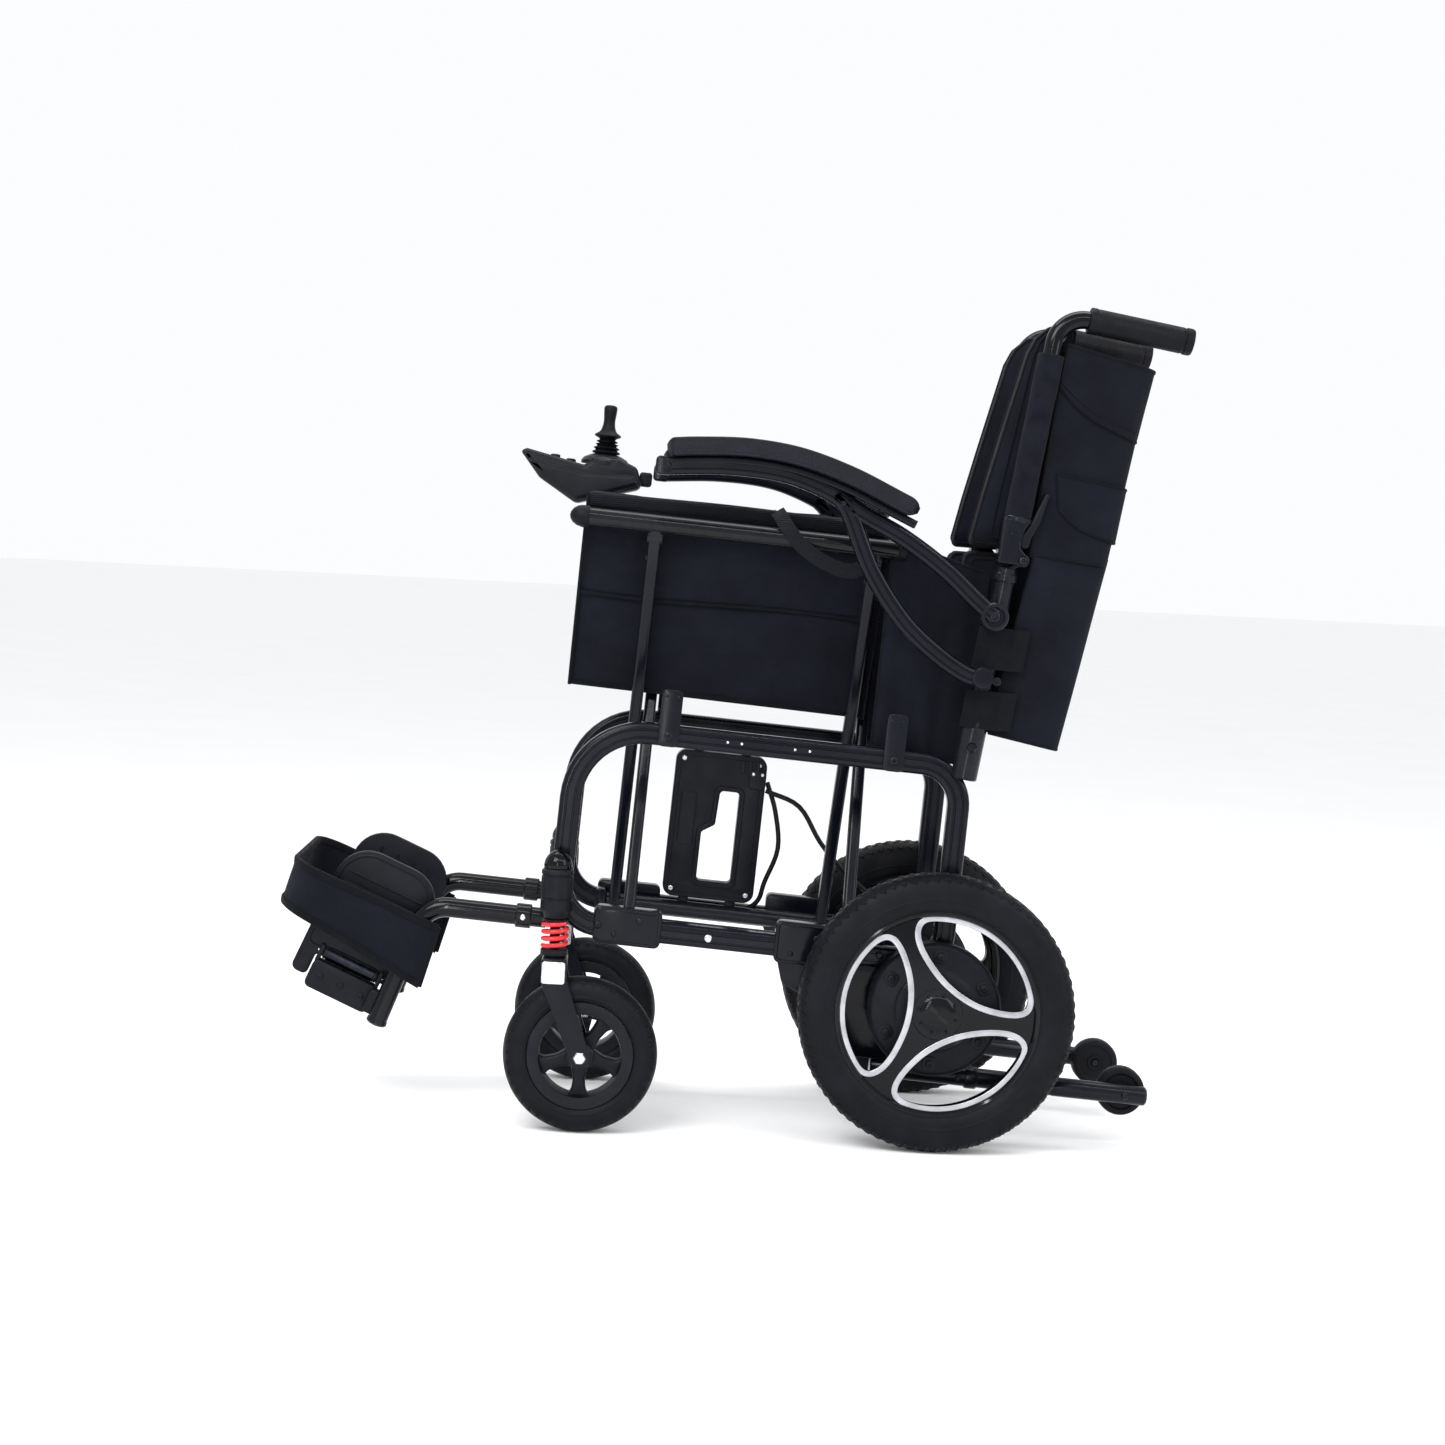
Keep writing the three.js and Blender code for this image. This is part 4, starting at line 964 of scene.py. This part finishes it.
# ---------- back pads, calf strap and side curtain ----------
BACK_FACE = [(12, 529), (2, 588), (-10, 650), (-22, 710), (-32, 760), (-40, 779), (-53, 792), (-72, 799),
             (-84, 796), (-84, 740), (-70, 640), (-56, 560), (-50, 531)]
BACK_BASE = [(-34, 322), (6, 314), (20, 330), (21, 400), (17, 470), (12, 524), (-46, 526), (-44, 440)]


# How a pad's outline shrinks towards its two faces: share of its depth, share of its size.
PILLOW_EDGE = ((0, 0.91), (0.1, 0.9748), (0.28, 0.9919), (0.4, 1))


def pillow(outline, low, high):
    """A soft slab over the outline in the a-h plane from y = low to y = high, drawn in at its seams."""
    centre, n = outline.mean(0), len(outline)
    levels = [*PILLOW_EDGE, (0.5, 1), *((1 - t, size) for t, size in PILLOW_EDGE[::-1])]
    rings = [np.insert(centre + (outline - centre) * size, 1, low + (high - low) * t, axis=1)
             for t, size in levels]
    faces = strip(len(levels), n)
    faces += [tuple(range(n)), tuple(range((len(levels) - 1) * n, len(levels) * n))]
    return np.vstack(rings), faces


def back_pad(side):
    """The padded front of the backrest beside each cane, above and below the folding joint."""
    for name, outline, body, low, high in (("upper", BACK_FACE, "upper_cane_" + side, 60, 100),
                                           ("lower", BACK_BASE, side + "_frame", 44, 86)):
        loop = fillet(outline, 7, closed=True, steps=5)
        pad = piece(f"back_pad_{name}_" + side, [pillow(loop, low, high)], "nylon", body, side, sharp=80)
        inner = loop + (loop.mean(0) - loop) * 0.03
        rolls = [sweep(np.insert(inner, 1, y, axis=1), circle(1.8, 10), closed=True)
                 for y in (low + 3.2, high - 3.2)]
        quilt = loop.mean(0) + (loop - loop.mean(0)) * (0.62, 0.92)
        rolls.append(sweep(np.insert(quilt, 1, high + 0.1, axis=1), circle(1.3, 8), closed=True))
        piece(f"back_pad_piping_{name}_" + side, rolls, "hem", body, side)


def skirt(side):
    """The gathered side curtain behind the seat."""
    rows, columns = 22, 30
    grid = np.zeros((rows, columns, 3))
    for i, r in enumerate(np.linspace(0, 1, rows)):
        front, rear = np.array((99, 290 + 238 * r)), np.array((-12 - 4 * r, 276 + 222 * r))
        for j, s in enumerate(np.linspace(0, 1, columns)):
            a, h = front * (1 - s) + rear * s
            fold = 3.6 * math.sin(5.2 * math.pi * s + 1.6 * r) + 1.6 * math.sin(9 * math.pi * s - 2.4 * r)
            grid[i, j] = (a, 94 + fold * (1 - 0.55 * r) * math.sin(math.pi * (0.12 + 0.76 * s)), h)
    sheet = piece("side_curtain_" + side, [cloth(grid, 2)], "nylon", side + "_frame", side)
    rolls = [edge_roll(grid[-1], 4, 3.6), edge_roll(grid[0], 4, 3.4),
             edge_roll(grid[:, 0], 3.6, 3.2, FORWARD)]
    hem = piece("side_curtain_hem_" + side, rolls, "hem", side + "_frame", side)


def calf_strap(side):
    pair = (side + "_frame", "calf_strap_" + side, (640, 125.5, 20), (748, 30, 72))
    edges = (((587, -42), (572, 28)), ((756, 36), (745, 86)))
    grid = wrapped(edges, corner_plan(190, 125, 32, 16, 14), 12, slack(2.4, 1, 0.4))
    sheet = piece("calf_web_" + side, [cloth(grid, 3.4)], "nylon", pair, side,
                  replaces=["calf_strap_" + side])
    normal = np.array((-0.2, 0, 1.0))
    rolls = [edge_roll(grid[-1] - normal * 2, 9, 6.4), edge_roll(grid[0] + normal * 2, 9, 6.4),
             edge_roll(grid[:, 0], 6, 5, FORWARD)]
    hem = piece("calf_web_hem_" + side, rolls, "hem", pair, side)


# ---------- folding braces and seat ----------
RAIL_Y, RAIL_H = 94.7, 515.0
BAR_PLACES = {"left": (374, 119), "right": (357, 102)}


def brace(side):
    """The brace that carries this side's seat rail. Its foot is on the other side's frame."""
    body = "brace_" + OTHER[side]
    foot, rail = np.array((-85.0, 50.0)), np.array((RAIL_Y, RAIL_H))
    solids = []
    for a in BAR_PLACES[side]:
        path = [(a, *(foot * (1 - t) + rail * t)) for t in np.linspace(0, 1, 9)]
        solids.append(sweep(path, extrusion(18, 14, 4, (0,), 0.9), up=FORWARD))
        collar = rail - (rail - foot) / np.linalg.norm(rail - foot) * 16
        solids.append(rod((a - 9, *collar), (a + 9, *collar), 9.4, 1))
    solids.append(rod((72.6, -85, 50), (384.4, -85, 50), 10, 1, 32))
    piece("brace_bars_" + side, solids, "lacquer", body, side, replaces=["brace_" + OTHER[side] + "_foot"])
    tube = [(85, 0), (85, 9.4), (86.5, 11), (456, 11), (456, 0)]
    piece("rail_tube_" + side, [lathe(tube, (0, RAIL_Y, RAIL_H), FORWARD, 40)], "gloss", body, side,
          replaces=["seat_rail_" + side])
    cap = [(452, 10.9), (452, 12), (453, 12.6), (461, 12.6), (466, 11.6), (471, 8.4), (474, 4.2), (475, 0)]
    ends = [lathe(cap, (0, RAIL_Y, RAIL_H), FORWARD, 40),
            lathe([(82, 0), (82, 10), (83.4, 11.8), (92, 11.8), (93, 10.9)], (0, RAIL_Y, RAIL_H), FORWARD,
                  40)]
    piece("rail_caps_" + side, ends, "rubber", body, side)
    plates = [bolt((a + 7.2, RAIL_Y - 14, RAIL_H - 40), 3.4, (1, 0, 0), 1.8) for a in BAR_PLACES[side]]
    piece("brace_screws_" + side, plates, "dark_steel", body, side)


def cross_bolts():
    for name, low in (("front", 348.5), ("rear", 93.5)):
        middle = (0, 0, 269.95)
        solids = [lathe([(low, 0), (low, 6.4), (low + 2, 7.2), (low + 5, 7.2), (low + 5, 4), (low + 29, 4),
                         (low + 29, 7.2), (low + 32, 7.2), (low + 34, 6), (low + 34, 0)], middle, FORWARD,
                        24)]
        piece("cross_pin_" + name, solids, "dark_steel", "brace_left", replaces=["cross_bolt_" + name])


def puffed(obj, voxel=0.0045, pressure=4.0, cap=0.0045):
    """Fills the closed cover like a cushion: cloth under pressure, each point held to a short move."""
    scene = bpy.context.scene

    def settle():
        shape = bpy.data.meshes.new_from_object(obj.evaluated_get(bpy.context.evaluated_depsgraph_get()))
        obj.modifiers.clear()
        obj.data = shape

    remesh = obj.modifiers.new("voxels", "REMESH")
    remesh.mode, remesh.voxel_size = "VOXEL", voxel
    settle()
    start = np.array([v.co for v in obj.data.vertices])
    low, high = start.min(0), start.max(0)
    rim = (start[:, 0] < low[0] + 0.03) | (start[:, 0] > high[0] - 0.012) | (start[:, 2] < low[2] + 0.03)
    sewn = obj.vertex_groups.new(name="sewn")
    sewn.add([int(i) for i in np.flatnonzero(rim)], 1.0, "REPLACE")
    air = obj.modifiers.new("air", "CLOTH").settings
    air.vertex_group_mass = "sewn"
    air.use_pressure, air.uniform_pressure_force = True, pressure
    air.effector_weights.gravity = 0
    for step in range(1, 21):
        scene.frame_set(step)
    held = obj.evaluated_get(bpy.context.evaluated_depsgraph_get()).to_mesh()
    filled = np.array([v.co for v in held.vertices])
    filled = low + (filled - filled.min(0)) / np.ptp(filled, 0) * (high - low)
    move = filled - start
    obj.modifiers.clear()
    scene.frame_set(1)
    length = np.linalg.norm(move, axis=1)[:, None]
    move *= np.minimum(1, cap / np.maximum(length, 1e-9))
    obj.data.vertices.foreach_set("co", (start + move).astype(np.float32).ravel())
    finer = obj.modifiers.new("finer", "SUBSURF")
    finer.levels = 1
    settle()


SEAT_SECTION = [(1.6, 313), (4.5, 313.5), (40, 404), (72.5, 492), (73.5, 520), (73, 543), (63, 544.5),
                (50, 497), (26, 424), (3, 350)]
SEAT_FRONT, SEAT_REAR = 456.5, 103.5


def seam_h(a):
    """The height of the stitched line along the seat's outer face."""
    return 428 + 2.5 * np.sin((a - 100) / 60)


def seat_mesh():
    """The left half of the padded seat sling, filled, in world metres."""
    section = smooth(SEAT_SECTION, 4, closed=True)
    rows = []
    for a in np.linspace(SEAT_REAR, SEAT_FRONT, 60):
        s = (a - SEAT_REAR) / (SEAT_FRONT - SEAT_REAR)
        end = min(1.0, (min(a - SEAT_REAR, SEAT_FRONT - a) + 2.0) / 9.0)
        centre = section.mean(0)
        thin = section + (centre - section) * (1 - end) * (0.05, 0.01)
        rows.append([(a, y, h + (4.5 * s - 1.5 * math.sin(9 * s)) * (1 - min(1,
                                                                             (h - 310) / 60)) * (h < 370))
                     for y, h in thin])
    verts = np.array(rows).reshape(-1, 3)
    n, m = len(rows), len(section)
    faces = strip(n, m) + [tuple(range(m)), tuple(range((n - 1) * m, n * m))]
    mesh = bpy.data.meshes.new("seat")
    mesh.from_pydata((chassis(verts) / 1000).tolist(), [], faces)
    dress(mesh, "nylon", 180)
    cushion = bpy.data.objects.new("seat", mesh)
    bpy.context.scene.collection.objects.link(cushion)
    puffed(cushion)
    mesh = cushion.data
    bpy.data.objects.remove(cushion)
    press_seams(mesh)
    return mesh


def press_seams(mesh):
    """The stitched line along the seat's outer face, and a loose wave in its cloth."""
    co = np.array([v.co for v in mesh.vertices])
    x, z = co[:, 0] * 1000 - AXLE_X, co[:, 2] * 1000 - AXLE_Z
    a = x * math.cos(PITCH) + z * math.sin(PITCH)
    h = z * math.cos(PITCH) - x * math.sin(PITCH)
    outside = (co[:, 1] * 1000 > 0.37 * (h - 330) - 6)
    dent = 0.0026 * np.exp(-((h - seam_h(a)) / 3.2) ** 2) * outside
    wave = 0.0012 * np.sin(a / 27 + h / 40) * np.sin(h / 31 - a / 70) * np.clip((h - 320) / 40, 0, 1)
    co[:, 1] += np.where(h < 500, wave - dent, 0)
    mesh.vertices.foreach_set("co", co.astype(np.float32).ravel())


def seat(side, mesh):
    pair = ("brace_" + OTHER[side], "seat_panel_" + side, (280, 74, 498), (280, 8, 322))
    if side == "right":
        mesh = mesh.copy()
        mesh.transform(Matrix.Diagonal((1, -1, 1, 1)))
    mesh.name = "seat_pad_" + side
    mesh.materials.clear()
    for layer in list(mesh.uv_layers):
        mesh.uv_layers.remove(layer)
    dress(mesh, "nylon", 60)
    cushion = bpy.data.objects.new("seat_pad_" + side, mesh)
    bpy.context.scene.collection.objects.link(cushion)
    metres(pair[2], side=side)
    metres(pair[3], side=side)
    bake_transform(cushion)
    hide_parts("seat_panel_" + side)
    edge = smooth([(4.4, 311), (40, 403), (74.4, 492), (75.6, 540)], 8)
    seam = [(a, 51.4, seam_h(a)) for a in np.linspace(SEAT_REAR + 2, SEAT_FRONT - 2, 40)]
    rolls = [sweep(seam, circle(1.7, 8))]
    for a in (SEAT_REAR + 1, SEAT_FRONT - 0.5):
        rise = 4.5 * (a - SEAT_REAR) / (SEAT_FRONT - SEAT_REAR)
        path = [(a, y, h + rise * max(0, (330 - h) / 20)) for y, h in edge]
        rolls.append(sweep(path, circle(2.3, 12), up=FORWARD))
    low = [(a, 4.2 + 0.4 * math.sin(a / 20), 315 + 3 * (a - SEAT_REAR) / 353)
           for a in np.linspace(SEAT_REAR, SEAT_FRONT, 50)]
    rolls.append(sweep(low, rounded(6, 7, 2.6, 3)))
    piece("seat_piping_" + side, rolls, "hem", pair, side)
    top = [(a, 71 + 0.5 * math.sin(a / 13), 537.5 + 0.7 * math.sin(a / 37))
           for a in np.linspace(106, 455, 80)]
    ends = [0.8, 0.95] + [1] * 76 + [0.95, 0.8]
    piece("seat_edge_" + side, [sweep(top, rounded(17, 14, 5, 4), scale=ends)], "webbing", pair[0], side)
    tail = smooth([(236, 84, 545), (231, 96, 538), (221, 105.6, 524), (205, 108.6, 508), (186, 109, 496),
                   (166, 108.6, 488), (147, 107.6, 485), (130, 106, 492)], 5)
    strap = piece("seat_strap_" + side, [sweep(tail, rounded(17, 1.8, 0.8, 2))], "webbing", pair[0], side)


# ---------- armrests ----------
def at_arm(points, y=ARM_Y):
    return [(a, y, h) for a, h in points]


SPINE = [(372, 581), (300, 588.5), (235, 586.5), (182, 571.5), (143, 551), (95, 530), (45, 500), (6, 469.5),
         ARM_PIVOT]
BRANCH = [(176, 570), (158, 551), (126, 488), (85, 436), (45, 404), (8, 383.5), ARM_REST]
PAD_LINE = [(372, 602), (336, 607), (280, 611.3), (222, 607.3), (162, 592), (104, 569.5), (82, 561)]


def rounded_ends(path, front, rear):
    """Sizes along a path that close in over those lengths at its two ends."""
    steps = np.linalg.norm(np.diff(path, axis=0), axis=1)
    along = np.concatenate(([0], np.cumsum(steps)))
    size = np.ones(len(path))
    for distance, reach in ((along, front), (along[-1] - along, rear)):
        inside = np.clip(1 - distance / reach, 0, 1)
        size *= np.sqrt(np.clip(1 - inside ** 2, 0.12, 1))
    return size


def armrest(side):
    body = "armrest_" + side
    bar = extrusion(20, 19, 5, (-4.2, 4.2), 1.2)
    solids = [sweep(smooth(at_arm(SPINE), 8), bar), sweep(smooth(at_arm(BRANCH), 8), bar)]
    ring = [(137.9, 0), (137.9, 15), (139, 16), (156.6, 16), (158, 14.8), (158, 11.2), (155, 10.4),
            (155, 0)]
    disc = [(139, 0), (139, 11.6), (140, 12.5), (157, 12.5), (158.6, 11.4), (159, 9), (159, 0)]
    solids.append(lathe(ring, (ARM_PIVOT[0], 0, ARM_PIVOT[1]), sides=48))
    solids.append(lathe(disc, (ARM_REST[0], 0, ARM_REST[1]), sides=48))
    solids.append(block((363, 383), (138.6, 157.4), (571, 592), 5, 1.6))
    solids.append(sweep(at_arm(smooth(PAD_LINE, 8) - (0, 15.4)), rounded(9, 20, 2.6)))
    for a, h in ((330, 592), (250, 592), (170, 575)):
        solids.append(rod((a, 141, h - 3), (a, 141, h + 3), 4))
    piece("arm_bar_" + side, solids, "lacquer", body, side, replaces=["armrest_frame_" + side])
    pins = [bolt((ARM_PIVOT[0], 155, ARM_PIVOT[1]), 7, height=2.6), bolt((368, 157.4, 582), 3, height=1.6),
            bolt((166, 157.6, 561), 3.2, height=1.6)]
    piece("arm_pins_" + side, pins, "dark_steel", body, side)
    path = np.array(at_arm(smooth(PAD_LINE, 14), 160))
    path = np.vstack((path[0] + (path[0] - path[1]) * 0.01, path))
    section = smooth([(10.5, -20), (10.5, 0), (10.5, 20), (7, 22), (-6, 22), (-10, 20), (-10.5, 0),
                      (-10, -20), (-6, -22), (7, -22)], 3, closed=True) * (-1, 1)
    pad = piece("arm_cushion_" + side, [sweep(path, section, scale=rounded_ends(path, 9, 16))], "pebbled",
                body, side,
                replaces=["arm_pad_" + side], sharp=50)
    base = sweep(path[6:-6] + (0, 0, -6.5), rounded(1.6, 44.6, 0.7, 2))
    piece("arm_pad_base_" + side, [base], "plastic", body, side)


# ---------- joystick controller, on the right arm ----------
def as_is(points):
    """World millimetres, left alone."""
    return np.asarray(points, float).reshape(-1, 3)


def controller():
    body, side, stick = "armrest_right", "right", (445, 150, 0)
    outline = fillet([(551, 590), (543, 594), (470, 581), (463, 587), (461, 593), (427, 593), (404, 584),
                      (394, 559), (436, 545), (476, 532),
                      (524, 559)], [4, 4, 5, 4, 3, 5, 10, 9, 16, 12, 14],
                     closed=True)
    lower = fillet([(548, 586), (470, 573), (404, 576), (396, 561), (436, 546.4), (476, 534), (523, 561)],
                   [3, 5, 6, 6, 14, 10, 12], closed=True)
    shell = [plate(outline, 121, 179, bevel=6.5), plate(lower, 118.8, 181.2, bevel=7)]
    base = [(584, 0), (584, 30), (588, 30), (592, 27), (596, 19), (598, 12), (598, 0)]
    shell.append(lathe(base, stick, UP, 56))
    shell.append(block((384, 400), (140, 158), (562, 580), 4, 1.6))
    piece("controller_shell", shell, "plastic", body, side, replaces=["controller_housing"])
    screws = [bolt((a, 180.8, 566), 2.2, height=1.2) for a in (420, 500)]
    piece("controller_screws", screws, "dark_steel", body, side)
    boot = [(598, 0), (598, 16.6), (600, 18), (602.5, 13.4), (605, 16.8), (607.5, 12), (610, 14.6),
            (611.6, 9), (611.6, 0)]
    both = ("joystick_gimbal", "joystick_lever", (445, 150, 599), (445, 150, 610))
    piece("joystick_bellows", [lathe(boot, stick, UP, 40)], "rubber", both, side,
          replaces=["joystick_boot"])
    stalk = [(611, 0), (611, 8), (612.4, 13), (613.6, 13.6), (615.4, 9.6), (617.4, 11.4), (619.4, 16),
             (621, 16.8), (622.4, 15.6), (625, 11.4), (628, 9.2), (633, 7.8), (638, 7.2), (643, 7.4),
             (649, 8), (655, 8.4), (657.6, 7.6), (659, 5), (659.5, 0)]
    piece("joystick_stalk", [lathe(stalk, stick, UP, 48)], "rubber", "joystick_lever", side,
          replaces=["joystick_lever"])
    for name in ("front", "rear"):
        low, high = (np.array(corner) * 1000 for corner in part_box("controller_button_" + name))
        size = high - low
        r, t = min(size[:2]) / 2, size[2]
        cap = [(-0.5 * t, 0), (-0.5 * t, r), (0.25 * t, r), (0.42 * t, 0.85 * r), (0.5 * t, 0.6 * r),
               (0.44 * t, 0.3 * r), (0.42 * t, 0)]
        shape = lathe(cap, (low + high) / 2, (-math.sin(PITCH), 0, math.cos(PITCH)), 32)
        piece("button_cap_" + name, [shape], "rubber", "button_" + name, place=as_is,
              replaces=["controller_button_" + name])


# ---------- battery and its leads, on the right frame's inner side ----------
def battery():
    body = "right_frame"
    outline = fillet([(205, 66), (317, 66), (317, 246), (205, 246)], 13, closed=True)
    slot = fillet([(235, 88), (235, 200), (259, 200), (261, 158), (277, 148), (277, 88)], 5, closed=True)
    solids = [plate(outline, -100.5, -76, [slot], 2.2)]
    inner = fillet([(211, 72), (311, 72), (311, 240), (211, 240)], 10, closed=True)
    wide = fillet([(231, 84), (231, 204), (263, 204), (265, 161), (281, 151), (281, 84)], 7, closed=True)
    solids.append(plate(inner, -78, -74.6, [wide], 1.2))
    solids.append(sweep([(p[0], -75, p[1]) for p in wide], rounded(4.6, 4.6, 1.6), closed=True))
    recess = fillet([(287, 132), (306, 132), (306, 196), (287, 196)], 3, closed=True)
    solids.append(sweep([(p[0], -74.8, p[1]) for p in recess], circle(1.1, 8), closed=True))
    solids.append(block((205, 226), (-92, -72.8), (206, 230), 5, 1.8))
    solids += [block((214 + 9 * k, 219 + 9 * k), (-76, -73.2), (220 + 2 * k, 240), 2, 0.8)
               for k in range(3)]
    for a, h in ((232, 252), (290, 252), (232, 60), (290, 60)):
        solids.append(block((a - 6, a + 6), (-104, -84), (h - 8, h + 8), 3, 1.2))
    piece("battery_case", solids, "plastic", body, replaces=["battery_box"])
    screws = [bolt((a, -75, h), 3.2, height=1.6) for a in (215, 307) for h in (76, 236)]
    screws += [bolt((a, -73, 225), 2.2, height=1.2) for a in (210, 221)]
    piece("battery_screws", screws, "steel", body)
    lead("motor_lead", [(203, 205), (160, 190), (130, 150), (100, 120), (60, 90), (30, 60), (24, 30)], -92)
    lead("charge_lead", [(202, 215), (188, 180), (180, 135), (192, 92), (197, 70), (210, 58), (232, 56)],
         -98.3)


def lead(node, points, y):
    """A cable along its route, its ends capped."""
    route = chassis([(a, y, h) for a, h in smooth(points, 5)]) / 1000
    curve = bpy.data.curves.new(node, "CURVE")
    curve.dimensions, curve.bevel_depth, curve.bevel_resolution, curve.use_fill_caps = "3D", 0.003, 4, True
    spline = curve.splines.new("POLY")
    spline.points.add(len(route) - 1)
    for point, place in zip(spline.points, route):
        point.co = (*place, 1)
    curve.materials.append(PAINT["cable"])
    cable = bpy.data.objects.new(node + "_jacket", curve)
    bpy.context.scene.collection.objects.link(cable)
    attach(cable, "right_frame")
    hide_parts(node)


# ---------- stage, light and camera ----------
def area_light(name, place, size, power, tilt):
    """A rectangular lamp, tipped by the first angle and then turned by the second, in degrees."""
    light = bpy.data.lights.new(name, "AREA")
    light.shape, light.size, light.size_y, light.energy = "RECTANGLE", size[0], size[1], power
    lamp = bpy.data.objects.new(name, light)
    lamp.matrix_world = (Matrix.Translation(place) @ Matrix.Rotation(math.radians(tilt[1]), 4, "Z")
                         @ Matrix.Rotation(math.radians(tilt[0]), 4, "X"))
    bpy.context.scene.collection.objects.link(lamp)


def stage():
    """A white paper floor in a white room, with soft lamps and two thin ones for the tubes' highlights."""
    bpy.context.scene.view_settings.view_transform = "Standard"
    mesh = bpy.data.meshes.new("floor")
    mesh.from_pydata([(-40, -40, 0), (40, -40, 0), (40, 40, 0), (-40, 40, 0)], [], [(0, 1, 2, 3)])
    floor = bpy.data.objects.new("floor", mesh)
    bpy.context.scene.collection.objects.link(floor)
    mesh.materials.append(Paint("floor_paper", (0.93, 0.93, 0.93), 0.9, specular=0.2)
                          .vary(3, 1.01, 0.99).material)
    world = bpy.data.worlds.new("studio")
    world.use_nodes = True
    sky = world.node_tree.nodes["Background"].inputs
    sky["Color"].default_value, sky["Strength"].default_value = (0.97, 0.98, 1.0, 1), 1.0
    bpy.context.scene.world = world
    area_light("key", (1.2, 1.9, 2.3), (1.4, 1.4), 46, (-48, -32))
    area_light("fill", (-2.2, 1.6, 1.5), (0.9, 1.8), 22, (-62, 54))
    area_light("top", (0.0, -0.3, 2.6), (2.2, 0.8), 30, (0, 0))
    area_light("long_strip", (0.0, 1.7, 1.9), (3.0, 0.07), 16, (-52, 0))
    area_light("tall_strip", (0.55, 3.2, 0.9), (0.07, 1.6), 14, (-90, -10))


CAMERA_PLACE = (0.1226, 3.0, 0.6645)
CAMERA_ROLL = math.radians(2.75)


def camera():
    lens = bpy.data.cameras.new("camera")
    lens.sensor_width, lens.lens = 36, 62.53
    lens.shift_x, lens.shift_y = 0.0612, -0.1201
    eye = bpy.data.objects.new("camera", lens)
    eye.matrix_world = (Matrix.Translation(CAMERA_PLACE) @ Matrix.Rotation(math.pi, 4, "Z")
                        @ Matrix.Rotation(math.pi / 2, 4, "X") @ Matrix.Rotation(CAMERA_ROLL, 4, "Z"))
    bpy.context.scene.collection.objects.link(eye)
    bpy.context.scene.camera = eye


def main():
    stage()
    camera()
    battery()
    pad = seat_mesh()
    for side in SIDES:
        side_frame(side)
        motor(side)
        rear_wheel(side)
        caster(side)
        antitip(side)
        footrest(side)
        calf_strap(side)
        canes(side)
        back_sling(side)
        back_pad(side)
        skirt(side)
        brace(side)
        armrest(side)
    for side in ("right", "left"):
        seat(side, pad)
    cross_bolts()
    controller()


main()
